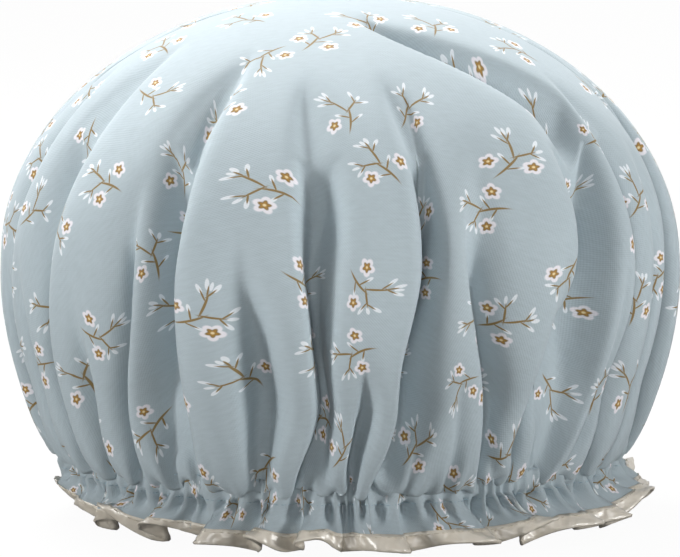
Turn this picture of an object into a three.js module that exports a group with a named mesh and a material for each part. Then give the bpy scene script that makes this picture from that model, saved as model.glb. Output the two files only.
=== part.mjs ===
// A double-layer shower cap. A disc of printed fabric and a disc of waterproof film are gathered
// together on a loop of elastic, which runs in a channel sewn between them. Below the channel both
// layers hang as a ruffle, and a folded satin tape binds the ruffle's edge.
//
// Millimetres, +Z up. The origin lies under the top of the crown, on the plane that the ruffle
// stands on, and -Y is the front.
import * as THREE from "three";

// Crown
const CROWN_OVERHANG = 19.6; // how far the widest ring stands out past the gathers at the channel's seams
const CROWN_RISE = 86; // from the widest ring up to the top
const SIDE_DROP = 57; // from the widest ring down to the upper seam of the channel
const FOLD_DEPTH = 15; // ridge to valley where a fold is deepest
const FOLD_REACH = 44; // degrees of latitude over which a fold grows from its top to its full depth
const STEEP_WALL = 9; // across, from a valley out to the panel that hangs over it
const GENTLE_WALL = 15; // across, from a valley out to the panel on its other side
const WALL_AT_FOOT = 0.6; // share of its width that a wall keeps where the elastic draws it in

// The main folds of the front from left to right, which run on as the waves of the ruffle: where each
// valley runs at its foot on the elastic and up at the widest ring, in degrees from the front with the
// right-hand side positive, the latitude at which it dies out, and the side on which its wall is steep.
const LEFT = -1;
const RIGHT = 1;
const FRONT_FOLDS = [
  { foot: -76, middle: -75, top: 42, steep: RIGHT },
  { foot: -59, middle: -59, top: 42, steep: RIGHT },
  { foot: -40.5, middle: -40, top: 34, steep: RIGHT },
  { foot: -31, middle: -31, top: 48, steep: RIGHT },
  { foot: -17, middle: -16, top: 20, steep: LEFT },
  { foot: -5, middle: -5, top: 46, steep: LEFT },
  { foot: 9, middle: 15, top: 46, steep: LEFT },
  { foot: 29.3, middle: 25, top: 38, steep: LEFT },
  { foot: 34, middle: 38, top: 20, steep: LEFT },
  { foot: 39.3, middle: 49, top: 50, steep: LEFT },
  { foot: 57, middle: 62, top: 46, steep: LEFT },
  { foot: 73, middle: 76, top: 38, steep: LEFT },
];

// The folds of the back, which follow on to the right. They are uneven, as gathers are: each wave sways
// what it names about its mean, at a pace and phase in radians per fold.
const BACK_FOLD_COUNT = 9;
const BACK_SPAN = { from: 84, to: 276 }; // degrees from the front
const BACK_FOOT = { mean: 0.1, sway: 0.09, pace: 2.1, phase: 4 }; // in shares of the way between two
const BACK_TOP = { mean: 39, sway: -12, pace: 2.7, phase: 0 }; // degrees of latitude
const BACK_STEEP = { mean: 0, sway: RIGHT, pace: 3.7, phase: 1.9 };

// Layers
const FABRIC_THICKNESS = 0.5;
const LINING_THICKNESS = 0.3;
const CLEARANCE = 0.3; // between neighbours that lie on each other

// Elastic and its channel
const ELASTIC_DIAMETER = 178; // over the outer face, stretched as it is on a head
const ELASTIC_WIDTH = 4;
const ELASTIC_THICKNESS = 0.7;
const ELASTIC_LAP = 12; // length over which the two ends of the loop lie on each other
const SEAM_MARGIN = 2.4; // from the edges of the elastic to the two seams of its channel
const GATHER_DEPTH = 4.2; // ridge to valley of the gathers over the elastic

// Ruffle and binding
const RUFFLE_SHOW = 9; // fabric that shows between the lower seam and the binding
const RUFFLE_FLARE = 6; // how far the ridges of the ruffle's edge stand out past the gathers
const RUFFLE_DEPTH = 9; // ridge to valley at the ruffle's edge
const EDGE_LIFT = 1.6; // how far the valleys of the edge hang above the plane that it stands on
const BINDING_WIDTH = 7; // of each leg of the folded tape
const BINDING_THICKNESS = 0.4;
const BINDING_SEAM_INSET = 1.4; // from the tape's upper edge to the seam that holds it

// Sewing thread
const THREAD_DIAMETER = 0.4;
const SPLICE_POINTS = 9; // turning points of the zigzag that closes the elastic loop

// How the folds are drawn. The valleys of the channel and the ruffle are shallower by an uneven share.
const SHALLOW = { mean: 0.16, sway: 0.16, pace: 1.7, phase: 0.4 };
const WALL_ROOM = 0.8; // most that two walls take of the way between two valleys
const FALL_START = 8; // degrees of latitude below which a valley turns from its middle to its foot
const PLAIN_LATITUDES = [70, 50]; // rings of the plain top, below the pole
const FOLD_LATITUDES = [29, 8, -13]; // rings of the folded side, above the channel

// How the elastic is drawn
const ELASTIC_STEPS = 72;
const STEP_IN_SHARES = [0.85, 0.97]; // of the turn, where the end of the loop moves inside its beginning

// Heights
const bindingTopZ = BINDING_WIDTH;
const lowerSeamZ = bindingTopZ + RUFFLE_SHOW;
const elasticBottomZ = lowerSeamZ + SEAM_MARGIN;
const elasticTopZ = elasticBottomZ + ELASTIC_WIDTH;
const upperSeamZ = elasticTopZ + SEAM_MARGIN;
const widestZ = upperSeamZ + SIDE_DROP;
const topZ = widestZ + CROWN_RISE;
const edgeZ = BINDING_THICKNESS + CLEARANCE;

// Radii. At the seams the gathers lie on the elastic's own line, and between them they part round it.
const elasticOuterR = ELASTIC_DIAMETER / 2;
const lapPitch = ELASTIC_THICKNESS + CLEARANCE;
const spliceR = elasticOuterR - 2 * lapPitch - THREAD_DIAMETER / 2;
const elasticRidgeR = elasticOuterR + CLEARANCE + FABRIC_THICKNESS + GATHER_DEPTH;
const elasticMiddleR = elasticOuterR - ELASTIC_THICKNESS / 2;
const seamRidgeR = elasticMiddleR + FABRIC_THICKNESS + (CLEARANCE + GATHER_DEPTH) / 2;
const widestR = seamRidgeR + CROWN_OVERHANG;
const edgeRidgeR = elasticRidgeR + RUFFLE_FLARE;

// Insets, measured inwards from the outer face of the fabric
const liningInset = FABRIC_THICKNESS + CLEARANCE;
const liningInnerInset = liningInset + LINING_THICKNESS;
const wrapInset = elasticRidgeR - (spliceR - THREAD_DIAMETER / 2 - CLEARANCE); // of the lining at the elastic
const bindingOuterInset = -CLEARANCE - BINDING_THICKNESS;
const bindingInnerInset = liningInnerInset + CLEARANCE + BINDING_THICKNESS;

const { lerp, smoothstep, degToRad } = THREE.MathUtils;

// The value that a wave gives to a fold.
function swayed({ mean, sway, pace, phase }, k) {
  return mean + sway * Math.sin(pace * k + phase);
}

function backFolds() {
  const pitch = (BACK_SPAN.to - BACK_SPAN.from) / BACK_FOLD_COUNT;
  return Array.from({ length: BACK_FOLD_COUNT }, (_, k) => {
    const foot = BACK_SPAN.from + pitch * (k + swayed(BACK_FOOT, k));
    return { foot, middle: foot, top: swayed(BACK_TOP, k), steep: Math.sign(swayed(BACK_STEEP, k)) };
  });
}

const folds = [...FRONT_FOLDS, ...backFolds()];

// How wide the wall of a fold is on one of its sides, as an angle at the widest ring.
function wallAngle(fold, side, fall) {
  const width = fold.steep === side ? STEEP_WALL : GENTLE_WALL;
  return (width * lerp(1, WALL_AT_FOOT, fall)) / widestR;
}

// Where the valleys lie, in radians from the front, with the first one again at the end. fall is how
// far they have turned from their middle to their foot.
function foldValleys(fall) {
  const valleys = folds.map(({ foot, middle }) => degToRad(lerp(middle, foot, fall)));
  return [...valleys, valleys[0] + 2 * Math.PI];
}

// The columns that every layer shares: for each fold its valley and the two edges of the panel after
// it. depth is the share of a station's depth that the column has: none on a panel. reach is the share
// of a station's ridge radius that it stands out to, which puts the middle of a flat panel on it.
function foldColumns(fall, depthOf) {
  const valleys = foldValleys(fall);
  return folds.flatMap((fold, i) => {
    const start = valleys[i];
    const end = valleys[i + 1];
    const after = wallAngle(fold, RIGHT, fall);
    const before = wallAngle(folds[(i + 1) % folds.length], LEFT, fall);
    const fit = Math.min(1, (WALL_ROOM * (end - start)) / (after + before));
    const panel = { from: start + fit * after, to: end - fit * before };
    const reach = 1 / Math.cos((panel.to - panel.from) / 2);
    return [
      { angle: start, depth: depthOf(fold, i), reach: 1 },
      { angle: panel.from, depth: 0, reach },
      { angle: panel.to, depth: 0, reach },
    ];
  });
}

// One column for each fold, on the middle of the panel after it, for the plain top of the crown.
function panelColumns() {
  const valleys = foldValleys(0);
  return folds.map((_, i) => ({ angle: (valleys[i] + valleys[i + 1]) / 2, depth: 0, reach: 1 }));
}

// The columns of the channel and the ruffle, where the valleys have reached their feet.
function footColumns() {
  return foldColumns(1, (_, i) => 1 - swayed(SHALLOW, i));
}

// A station is one ring of the cap's outer face: its columns, its height and ridge radius, how deep
// its valleys are and how far they lift, its outward normal, and how far inside it the lining lies.
function crownStation(columns, latitude, lowerSemiHeight, depth) {
  const semiHeight = latitude > 0 ? CROWN_RISE : lowerSemiHeight;
  return {
    columns,
    height: widestZ + semiHeight * Math.sin(latitude),
    ridge: widestR * Math.cos(latitude),
    depth,
    lift: 0,
    normal: new THREE.Vector2(Math.cos(latitude) / widestR, Math.sin(latitude) / semiHeight).normalize(),
    liningInset,
  };
}

function channelStation(columns, height, ridge, inset) {
  const normal = new THREE.Vector2(1, 0);
  return { columns, height, ridge, depth: GATHER_DEPTH, lift: 0, normal, liningInset: inset };
}

function ruffleStation(columns, height) {
  const share = (lowerSeamZ - height) / (lowerSeamZ - edgeZ);
  return {
    columns,
    height,
    ridge: lerp(seamRidgeR, edgeRidgeR, share),
    depth: lerp(GATHER_DEPTH, RUFFLE_DEPTH, share),
    lift: EDGE_LIFT,
    normal: new THREE.Vector2(1, 0),
    liningInset,
  };
}

// The rings of the cap from the crown's top to the upper seam of the channel.
function crownStations() {
  const seamLatitude = -Math.acos(seamRidgeR / widestR);
  const lowerSemiHeight = SIDE_DROP / Math.sin(-seamLatitude);
  const ring = (columns, latitude) => crownStation(columns, degToRad(latitude), lowerSemiHeight, FOLD_DEPTH);
  const plain = PLAIN_LATITUDES.map((latitude) => ring(panelColumns(), latitude));
  const folded = FOLD_LATITUDES.map((latitude) => {
    const fall = smoothstep(degToRad(FALL_START - latitude), 0, degToRad(FALL_START) - seamLatitude);
    return ring(foldColumns(fall, ({ top }) => smoothstep(top - latitude, 0, FOLD_REACH)), latitude);
  });
  return [...plain, ...folded];
}

// Radius and height of a column on a station, moved inwards along the normal by inset.
function profilePoint(station, column, inset) {
  return [
    station.ridge * column.reach - station.depth * column.depth - inset * station.normal.x,
    station.height + station.lift * column.depth - inset * station.normal.y,
  ];
}

// A point in the plane through +Z at an angle from the front.
function turned([radius, height], angle) {
  return new THREE.Vector3(radius * Math.sin(angle), -radius * Math.cos(angle), height);
}

function solidGeometry(points, triangles) {
  const positions = points.flatMap((point) => point.toArray());
  const geometry = new THREE.BufferGeometry();
  geometry.setAttribute("position", new THREE.Float32BufferAttribute(positions, 3));
  geometry.setIndex(triangles.flat());
  geometry.computeVertexNormals();
  return geometry;
}

// Triangles between two rows of points, seen from outside with the first row above the second. The
// counts are equal, or the lower row has several columns for each one of the upper row.
function stripTriangles(upper, lower) {
  const triangles = [];
  const perUpper = lower.count / upper.count;
  const below = (i) => lower.start + (i % lower.count);
  for (let i = 0; i < upper.count; i++) {
    const here = upper.start + i;
    const next = upper.start + ((i + 1) % upper.count);
    const first = perUpper * i;
    const last = first + perUpper;
    for (let j = first; j < last; j++) triangles.push([here, below(j), below(j + 1)]);
    triangles.push([here, below(last), next]);
  }
  return triangles;
}

// A gathered sheet with a wall: an outer face, an inner face and the rim that joins them at the edge.
// insetOf gives how far the outer face of the sheet lies inside each station.
function gatheredSheet(stations, insetOf, wall) {
  const points = [];
  const triangles = [];
  const edges = [];
  for (const depth of [0, wall]) {
    const pole = points.length;
    points.push(new THREE.Vector3(0, 0, topZ - insetOf(stations[0]) - depth));
    const rows = stations.map((station) => {
      const row = { start: points.length, count: station.columns.length };
      const inset = insetOf(station) + depth;
      for (const column of station.columns)
        points.push(turned(profilePoint(station, column, inset), column.angle));
      return row;
    });
    const { start, count } = rows[0];
    const face = Array.from({ length: count }, (_, i) => [pole, start + i, start + ((i + 1) % count)]);
    for (let i = 1; i < rows.length; i++) face.push(...stripTriangles(rows[i - 1], rows[i]));
    triangles.push(...(depth === 0 ? face : face.map(([a, b, c]) => [a, c, b])));
    edges.push(rows.at(-1));
  }
  triangles.push(...stripTriangles(...edges));
  return solidGeometry(points, triangles);
}

// A solid swept through a row of sections that all have the same number of points. It closes on
// itself, or ends in two flat caps. The diagonals fall from each section to the next, as they do in
// the sheets, so faces that lie on each other stay parallel.
function sweptSolid(sections, closed) {
  const size = sections[0].length;
  const points = sections.flat();
  const triangles = [];
  const spans = closed ? sections.length : sections.length - 1;
  for (let i = 0; i < spans; i++) {
    const here = i * size;
    const next = ((i + 1) % sections.length) * size;
    for (let j = 0; j < size; j++) {
      const k = (j + 1) % size;
      const falls = points[here + j].z > points[here + k].z;
      if (falls) triangles.push([here + j, next + j, next + k], [here + j, next + k, here + k]);
      else triangles.push([here + j, next + j, here + k], [here + k, next + j, next + k]);
    }
  }
  const last = (sections.length - 1) * size;
  for (let j = 1; !closed && j < size - 1; j++) triangles.push([0, j, j + 1], [last, last + j + 1, last + j]);
  return solidGeometry(points, triangles);
}

// The four corners of a thread's section about a radius and a height.
function threadSection(radius, height, angle) {
  const half = THREAD_DIAMETER / 2;
  const corners = [
    [radius + half, height],
    [radius, height + half],
    [radius - half, height],
    [radius, height - half],
  ];
  return corners.map((corner) => turned(corner, angle));
}

// A thread of a seam that follows the folds of a station, on the outside of the cap or, with side -1,
// inside it. inset is where the face that it lies on is, and shift moves it up that face.
function seamThread(station, side, inset, shift) {
  const reach = CLEARANCE + THREAD_DIAMETER / 2;
  const sections = station.columns.map((column) => {
    const [radius, height] = profilePoint(station, column, inset - side * reach);
    return threadSection(radius, height + shift, column.angle);
  });
  return sweptSolid(sections, true);
}

// The corners of the binding's seam line: a share of the way down a leg, from its top to its fold.
function alongLeg(top, fold) {
  return top.map((value, i) => lerp(value, fold[i], BINDING_SEAM_INSET / BINDING_WIDTH));
}

// The folded tape: an outer leg, the fold under the ruffle's edge, and an inner leg, round a slot
// that takes both layers. Both legs have a line of corners where the binding's seam runs.
function bindingTape(topStation, edgeStation) {
  const sections = edgeStation.columns.map((column) => {
    const top = (inset) => profilePoint(topStation, column, inset);
    const edge = (inset, drop) => profilePoint({ ...edgeStation, height: edgeZ - drop }, column, inset);
    const corners = [
      top(bindingOuterInset),
      top(bindingOuterInset + BINDING_THICKNESS),
      edge(bindingOuterInset + BINDING_THICKNESS, CLEARANCE),
      edge(bindingInnerInset - BINDING_THICKNESS, CLEARANCE),
      top(bindingInnerInset - BINDING_THICKNESS),
      top(bindingInnerInset),
      alongLeg(top(bindingInnerInset), edge(bindingInnerInset, edgeZ)),
      edge(bindingInnerInset, edgeZ),
      edge(bindingOuterInset, edgeZ),
      alongLeg(top(bindingOuterInset), edge(bindingOuterInset, edgeZ)),
    ];
    return corners.map((corner) => turned(corner, column.angle));
  });
  return sweptSolid(sections, true);
}

// A thread of the binding's seam, which lies on the outer leg or, with side -1, on the inner one.
function bindingThread(topStation, edgeStation, side, inset) {
  const reach = CLEARANCE + THREAD_DIAMETER / 2;
  const sections = edgeStation.columns.map((column) => {
    const top = profilePoint(topStation, column, inset - side * reach);
    const fold = profilePoint({ ...edgeStation, height: 0 }, column, inset - side * reach);
    return threadSection(...alongLeg(top, fold), column.angle);
  });
  return sweptSolid(sections, true);
}

// The elastic loop: a flat strip that goes once round and whose end lies inside its beginning.
function elasticLoop() {
  const turn = 2 * Math.PI;
  const [stepStart, stepEnd] = STEP_IN_SHARES;
  const length = turn + ELASTIC_LAP / elasticOuterR;
  const sections = [];
  for (let i = 0; i <= ELASTIC_STEPS; i++) {
    const angle = (i / ELASTIC_STEPS) * length;
    const outer = elasticOuterR - lapPitch * smoothstep(angle / turn, stepStart, stepEnd);
    const inner = outer - ELASTIC_THICKNESS;
    const corners = [
      [outer, elasticBottomZ],
      [outer, elasticTopZ],
      [inner, elasticTopZ],
      [inner, elasticBottomZ],
    ];
    sections.push(corners.map((corner) => turned(corner, angle)));
  }
  return sweptSolid(sections, false);
}

// The zigzag that sews the lapped ends of the elastic together, on the inner face of the lap.
function spliceThread() {
  const lapAngle = ELASTIC_LAP / elasticOuterR;
  const swing = ELASTIC_WIDTH / 2 - THREAD_DIAMETER;
  const sections = [];
  for (let i = 1; i <= SPLICE_POINTS; i++) {
    const height = (elasticBottomZ + elasticTopZ) / 2 + (i % 2 ? -swing : swing);
    sections.push(threadSection(spliceR, height, (i / (SPLICE_POINTS + 1)) * lapAngle));
  }
  return sweptSolid(sections, false);
}

function finish(color, roughness) {
  return new THREE.MeshStandardMaterial({ color, roughness, metalness: 0 });
}

const printedFabric = finish("#a9c0cb", 0.75);
const clearFilm = finish("#e9eceb", 0.4);
const satin = finish("#dfd3bf", 0.3);
const knittedElastic = finish("#f1eee6", 0.85);
const blueThread = finish("#9db6c2", 0.6);
const ivoryThread = finish("#e6dcc9", 0.6);

const columns = footColumns();
const upperSeam = channelStation(columns, upperSeamZ, seamRidgeR, liningInset);
const aboveElastic = channelStation(columns, elasticTopZ + CLEARANCE, elasticRidgeR, wrapInset);
const belowElastic = channelStation(columns, elasticBottomZ - CLEARANCE, elasticRidgeR, wrapInset);
const lowerSeam = channelStation(columns, lowerSeamZ, seamRidgeR, liningInset);
const bindingTop = ruffleStation(columns, bindingTopZ);
const edge = ruffleStation(columns, edgeZ);
const stations = [
  ...crownStations(),
  ...[upperSeam, aboveElastic, belowElastic, lowerSeam],
  ...[bindingTop, edge],
];

// The inner threads of the channel lie beside the elastic's bulge, up the crown and down the ruffle.
const bobbinShift = THREAD_DIAMETER;

const pieces = [
  ["outer_fabric", printedFabric, gatheredSheet(stations, () => 0, FABRIC_THICKNESS)],
  ["waterproof_lining", clearFilm, gatheredSheet(stations, (ring) => ring.liningInset, LINING_THICKNESS)],
  ["elastic_band", knittedElastic, elasticLoop()],
  ["elastic_splice_thread", ivoryThread, spliceThread()],
  ["edge_binding", satin, bindingTape(bindingTop, edge)],
  ["upper_channel_needle_thread", blueThread, seamThread(upperSeam, 1, 0, 0)],
  ["upper_channel_bobbin_thread", blueThread, seamThread(upperSeam, -1, liningInnerInset, bobbinShift)],
  ["lower_channel_needle_thread", blueThread, seamThread(lowerSeam, 1, 0, 0)],
  ["lower_channel_bobbin_thread", blueThread, seamThread(lowerSeam, -1, liningInnerInset, -bobbinShift)],
  ["binding_needle_thread", ivoryThread, bindingThread(bindingTop, edge, 1, bindingOuterInset)],
  ["binding_bobbin_thread", ivoryThread, bindingThread(bindingTop, edge, -1, bindingInnerInset)],
];

const cap = new THREE.Group();
for (const [name, material, geometry] of pieces) {
  const mesh = new THREE.Mesh(geometry, material);
  mesh.name = name;
  cap.add(mesh);
}

export default cap;
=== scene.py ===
"""Looks of a gathered shower cap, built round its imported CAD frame: two discs of cloth drawn in by an elastic."""

from __future__ import annotations

import logging
import math
from dataclasses import dataclass, field
from enum import Enum
from typing import Any

import bmesh
import bpy
import numpy as np
from mathutils import Matrix, Vector


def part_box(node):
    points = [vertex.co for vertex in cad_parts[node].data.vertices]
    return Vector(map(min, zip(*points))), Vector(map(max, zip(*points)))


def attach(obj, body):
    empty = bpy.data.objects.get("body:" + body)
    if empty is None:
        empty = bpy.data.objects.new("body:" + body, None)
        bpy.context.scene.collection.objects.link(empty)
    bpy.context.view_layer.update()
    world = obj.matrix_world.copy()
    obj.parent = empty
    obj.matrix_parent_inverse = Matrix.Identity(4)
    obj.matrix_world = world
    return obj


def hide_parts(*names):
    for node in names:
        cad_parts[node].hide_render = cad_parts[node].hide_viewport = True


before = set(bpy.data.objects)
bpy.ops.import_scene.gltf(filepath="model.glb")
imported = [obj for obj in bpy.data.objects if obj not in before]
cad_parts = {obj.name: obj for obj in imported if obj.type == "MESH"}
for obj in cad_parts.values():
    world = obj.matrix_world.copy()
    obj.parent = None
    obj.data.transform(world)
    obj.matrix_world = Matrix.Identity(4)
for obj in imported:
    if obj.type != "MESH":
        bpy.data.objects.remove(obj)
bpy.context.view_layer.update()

LOG = logging.getLogger("shower_cap")
MM = 0.001
BODY = "root"
FULL_TURN = 2 * math.pi


class Slot(Enum):
    """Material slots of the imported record."""

    PRINTED_FABRIC = "printed_fabric"
    LINING_FILM = "lining_film"
    ELASTIC = "elastic"
    SATIN_BINDING = "satin_binding"
    BLUE_THREAD = "blue_thread"
    IVORY_THREAD = "ivory_thread"


class Side(Enum):
    """Side of the cloth that a seam's thread lies on."""

    OUTSIDE = 1
    INSIDE = -1


def linear(hex_colour: str) -> tuple[float, float, float, float]:
    """Turns an sRGB hex colour to linear light.

    Args:
        hex_colour: six hex digits, as in "A9BDC6".

    Returns:
        Red, green, blue and an alpha of one.
    """
    parts = [int(hex_colour[i : i + 2], 16) / 255 for i in (0, 2, 4)]
    return (*[p / 12.92 if p <= 0.04045 else ((p + 0.055) / 1.055) ** 2.4 for p in parts], 1.0)


def join(tree: bpy.types.NodeTree, node: Any, sockets: dict[Any, Any]) -> None:
    """Sets or links a node's inputs.

    Args:
        tree: the node tree.
        node: the node.
        sockets: inputs by name or number, each a value, an output, or a node whose first live output is linked.
    """
    for key, value in sockets.items():
        if isinstance(value, bpy.types.Node):
            value = next(out for out in value.outputs if out.enabled)
        if isinstance(value, bpy.types.NodeSocket):
            tree.links.new(value, node.inputs[key])
        else:
            node.inputs[key].default_value = value


def add_node(tree: bpy.types.NodeTree, kind: str, sockets: dict[Any, Any] | None = None, **settings: Any) -> Any:
    """Adds one shader node.

    Args:
        tree: the node tree.
        kind: the node's type name, without its prefix.
        sockets: inputs as for join.
        **settings: properties of the node.

    Returns:
        The new node.
    """
    node = tree.nodes.new("ShaderNode" + kind)
    for name, value in settings.items():
        setattr(node, name, value)
    join(tree, node, sockets or {})
    return node


def new_material(name: str) -> tuple[bpy.types.Material, bpy.types.NodeTree, Any]:
    """Starts a material.

    Args:
        name: the real material's name, with how it was made.

    Returns:
        The material, its node tree and its principled shader.
    """
    material = bpy.data.materials.new(name)
    material.use_nodes = True
    tree = material.node_tree
    return material, tree, tree.nodes["Principled BSDF"]


def to_object(bm: bmesh.types.BMesh, name: str, material: bpy.types.Material) -> bpy.types.Object:
    """Turns a finished bmesh into a smooth-shaded object at the origin.

    Args:
        bm: the bmesh, which is freed.
        name: the piece's name.
        material: its finish.

    Returns:
        The new object.
    """
    mesh = bpy.data.meshes.new(name)
    bm.to_mesh(mesh)
    bm.free()
    mesh.shade_smooth()
    mesh.materials.append(material)
    piece = bpy.data.objects.new(name, mesh)
    bpy.context.scene.collection.objects.link(piece)
    return piece


def settle_piece(piece: bpy.types.Object, slot: Slot, *nodes: str) -> None:
    """Rides a piece on the cap's body, hides the CAD nodes it stands for, and logs it.

    Args:
        piece: the finished piece.
        slot: the record's material slot; not used.
        *nodes: the CAD nodes that it replaces.
    """
    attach(piece, BODY)
    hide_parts(*nodes)
    LOG.info("%s: %d faces, for %s", piece.name, len(piece.data.polygons), ", ".join(nodes))


def smoothstep(low: float, high: float, value: Any) -> Any:
    """Rises smoothly from 0 at low to 1 at high."""
    share = np.clip((value - low) / (high - low), 0.0, 1.0)
    return share * share * (3 - 2 * share)


def sway(k: Any, amount: float, rate: float, phase: float = 0.0) -> Any:
    """Uneven amount of the fold or wave numbered k, the same in each run."""
    return amount * np.sin(rate * k + phase)


def around(radius: Any, turn: np.ndarray, height: Any) -> np.ndarray:
    """Points at a radius, an angle round from the front and a height."""
    return np.stack(np.broadcast_arrays(radius * np.sin(turn), -radius * np.cos(turn), height), -1)


def off_axis(points: np.ndarray) -> np.ndarray:
    """Distance of points from the cap's axis."""
    return np.hypot(points[..., 0], points[..., 1])


def run_along(path: np.ndarray) -> np.ndarray:
    """Distance along a path at each of its points."""
    return np.concatenate([[0], np.cumsum(np.linalg.norm(np.diff(path, axis=0), axis=1))])


@dataclass(frozen=True)
class Fold:
    """One fold of the crown, from its pointed upper end down to the elastic.

    Angles are degrees round from the front at the fold's foot, middle and tip. Lengths are millimetres: how far
    from the crown's middle the fold starts, how deep it is, how wide its hollow is on the left and on the right,
    and how far the panel on its right leans over it (or, below zero, the one on its left). The swing is how far
    round the upper end of the hollow turns.
    """

    foot: float
    middle: float
    tip: float
    start: float
    depth: float
    left: float
    right: float
    lean: float
    swing: float = 0.0

    MIDDLE_AT = 0.3
    FOOT_AT = 0.78

    def angle(self, ring: float, last: float) -> float:
        """Angle of the fold's line.

        Args:
            ring: radius on the flat disc.
            last: radius of the upper seam.

        Returns:
            Degrees round from the front.
        """
        share = float(np.clip((ring - self.start) / (last - self.start), 0, 1))
        upper = self.tip + (self.middle - self.tip) * math.sin(math.pi / 2 * min(1.0, share / self.MIDDLE_AT))
        return upper + (self.foot - self.middle) * smoothstep(self.MIDDLE_AT, self.FOOT_AT, share)


FRONT_FOLDS = (
    Fold(-76, -72, -82, 78, 12, 8, 4, 5),
    Fold(-81, -80, -84, 150, 7, 3, 3, 2),
    Fold(-67.5, -66, -70, 140, 8, 5, 3.5, 3),
    Fold(-58, -55.5, -64, 58, 14, 8, 4, 6),
    Fold(-49.5, -48, -49, 145, 8, 5, 3, 3),
    Fold(-40.5, -36.5, -38, 112, 12, 11, 3, 4),
    Fold(-28, -25, -30, 62, 27, 10, 3, 9),
    Fold(-22.5, -22, -22, 172, 7, 3, 3, 1),
    Fold(-17, -17, -19.5, 122, 12, 3.5, 7, -4),
    Fold(-12.5, -12.5, -12.5, 178, 6, 3, 3, 0),
    Fold(-8, -10.5, -13, 72, 19, 3, 10, -8),
    Fold(0.5, 2, 2, 158, 9, 3, 4, -2),
    Fold(6, 13, 15, 72, 18, 3, 10, -8),
    Fold(13, 15, 15, 176, 7, 3, 3, -1),
    Fold(20.5, 19, 19, 166, 8, 3, 4, -1),
    Fold(29, 23.5, 24, 96, 11, 9, 9, 0),
    Fold(34.5, 37, 38, 130, 10, 6, 6, -2),
    Fold(39, 45, 43, 30, 30, 4, 6.5, -14, -33),
    Fold(47, 53, 55, 138, 8, 4, 6, -3),
    Fold(54, 59, 64, 78, 14, 3.5, 8, -5),
    Fold(63.5, 69, 73, 105, 9, 3.5, 6, -4),
    Fold(73, 77, 82, 88, 10, 4, 7, -3),
)


@dataclass(frozen=True)
class BackFolds:
    """Folds of the side that the photograph doesn't show, as uneven as those of the front.

    Angles are degrees and lengths millimetres. A pair or triple gives how much a size sways from fold to fold, at
    what rate and from what phase.
    """

    count: int = 9
    begin: float = 84.0
    end: float = 276.0
    shift: float = 0.1
    shift_sway: tuple[float, ...] = (0.09, 2.1, 4.0)
    lean: float = 5.0
    lean_sway: tuple[float, ...] = (3.0, 1.3)
    lean_side: tuple[float, ...] = (1.0, 3.7, 1.9)
    widths: tuple[float, float] = (12.0, 3.0)
    middle_sway: tuple[float, ...] = (2.5, 1.1)
    tip_sway: tuple[float, ...] = (4.0, 1.9, 0.5)
    start: float = 86.0
    start_sway: tuple[float, ...] = (20.0, 2.7)
    depth: float = 14.0
    depth_sway: tuple[float, ...] = (3.0, 1.7, 0.4)
    short_shift: float = 0.5
    short_shift_sway: tuple[float, ...] = (0.08, 2.3)
    short_start: float = 142.0
    short_start_sway: tuple[float, ...] = (14.0, 1.4)
    short_depth: float = 8.0
    short_widths: tuple[float, float] = (4.0, 5.0)
    short_lean_sway: tuple[float, ...] = (2.0, 1.0)

    def build(self) -> list[Fold]:
        """Lays the folds out.

        Returns:
            The main folds, each with a short one after it.
        """
        pitch = (self.end - self.begin) / self.count
        folds = []
        for k in range(self.count):
            foot = self.begin + pitch * (k + self.shift + sway(k, *self.shift_sway))
            lean = math.copysign(self.lean + sway(k, *self.lean_sway), sway(k, *self.lean_side))
            left, right = self.widths if lean > 0 else reversed(self.widths)
            folds.append(Fold(foot, foot + sway(k, *self.middle_sway), foot + sway(k, *self.tip_sway),
                              self.start + sway(k, *self.start_sway), self.depth + sway(k, *self.depth_sway),
                              left, right, lean))
            short = foot + pitch * (self.short_shift + sway(k, *self.short_shift_sway))
            folds.append(Fold(short, short, short, self.short_start + sway(k, *self.short_start_sway),
                              self.short_depth, *self.short_widths, sway(k, *self.short_lean_sway)))
        return folds


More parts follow.
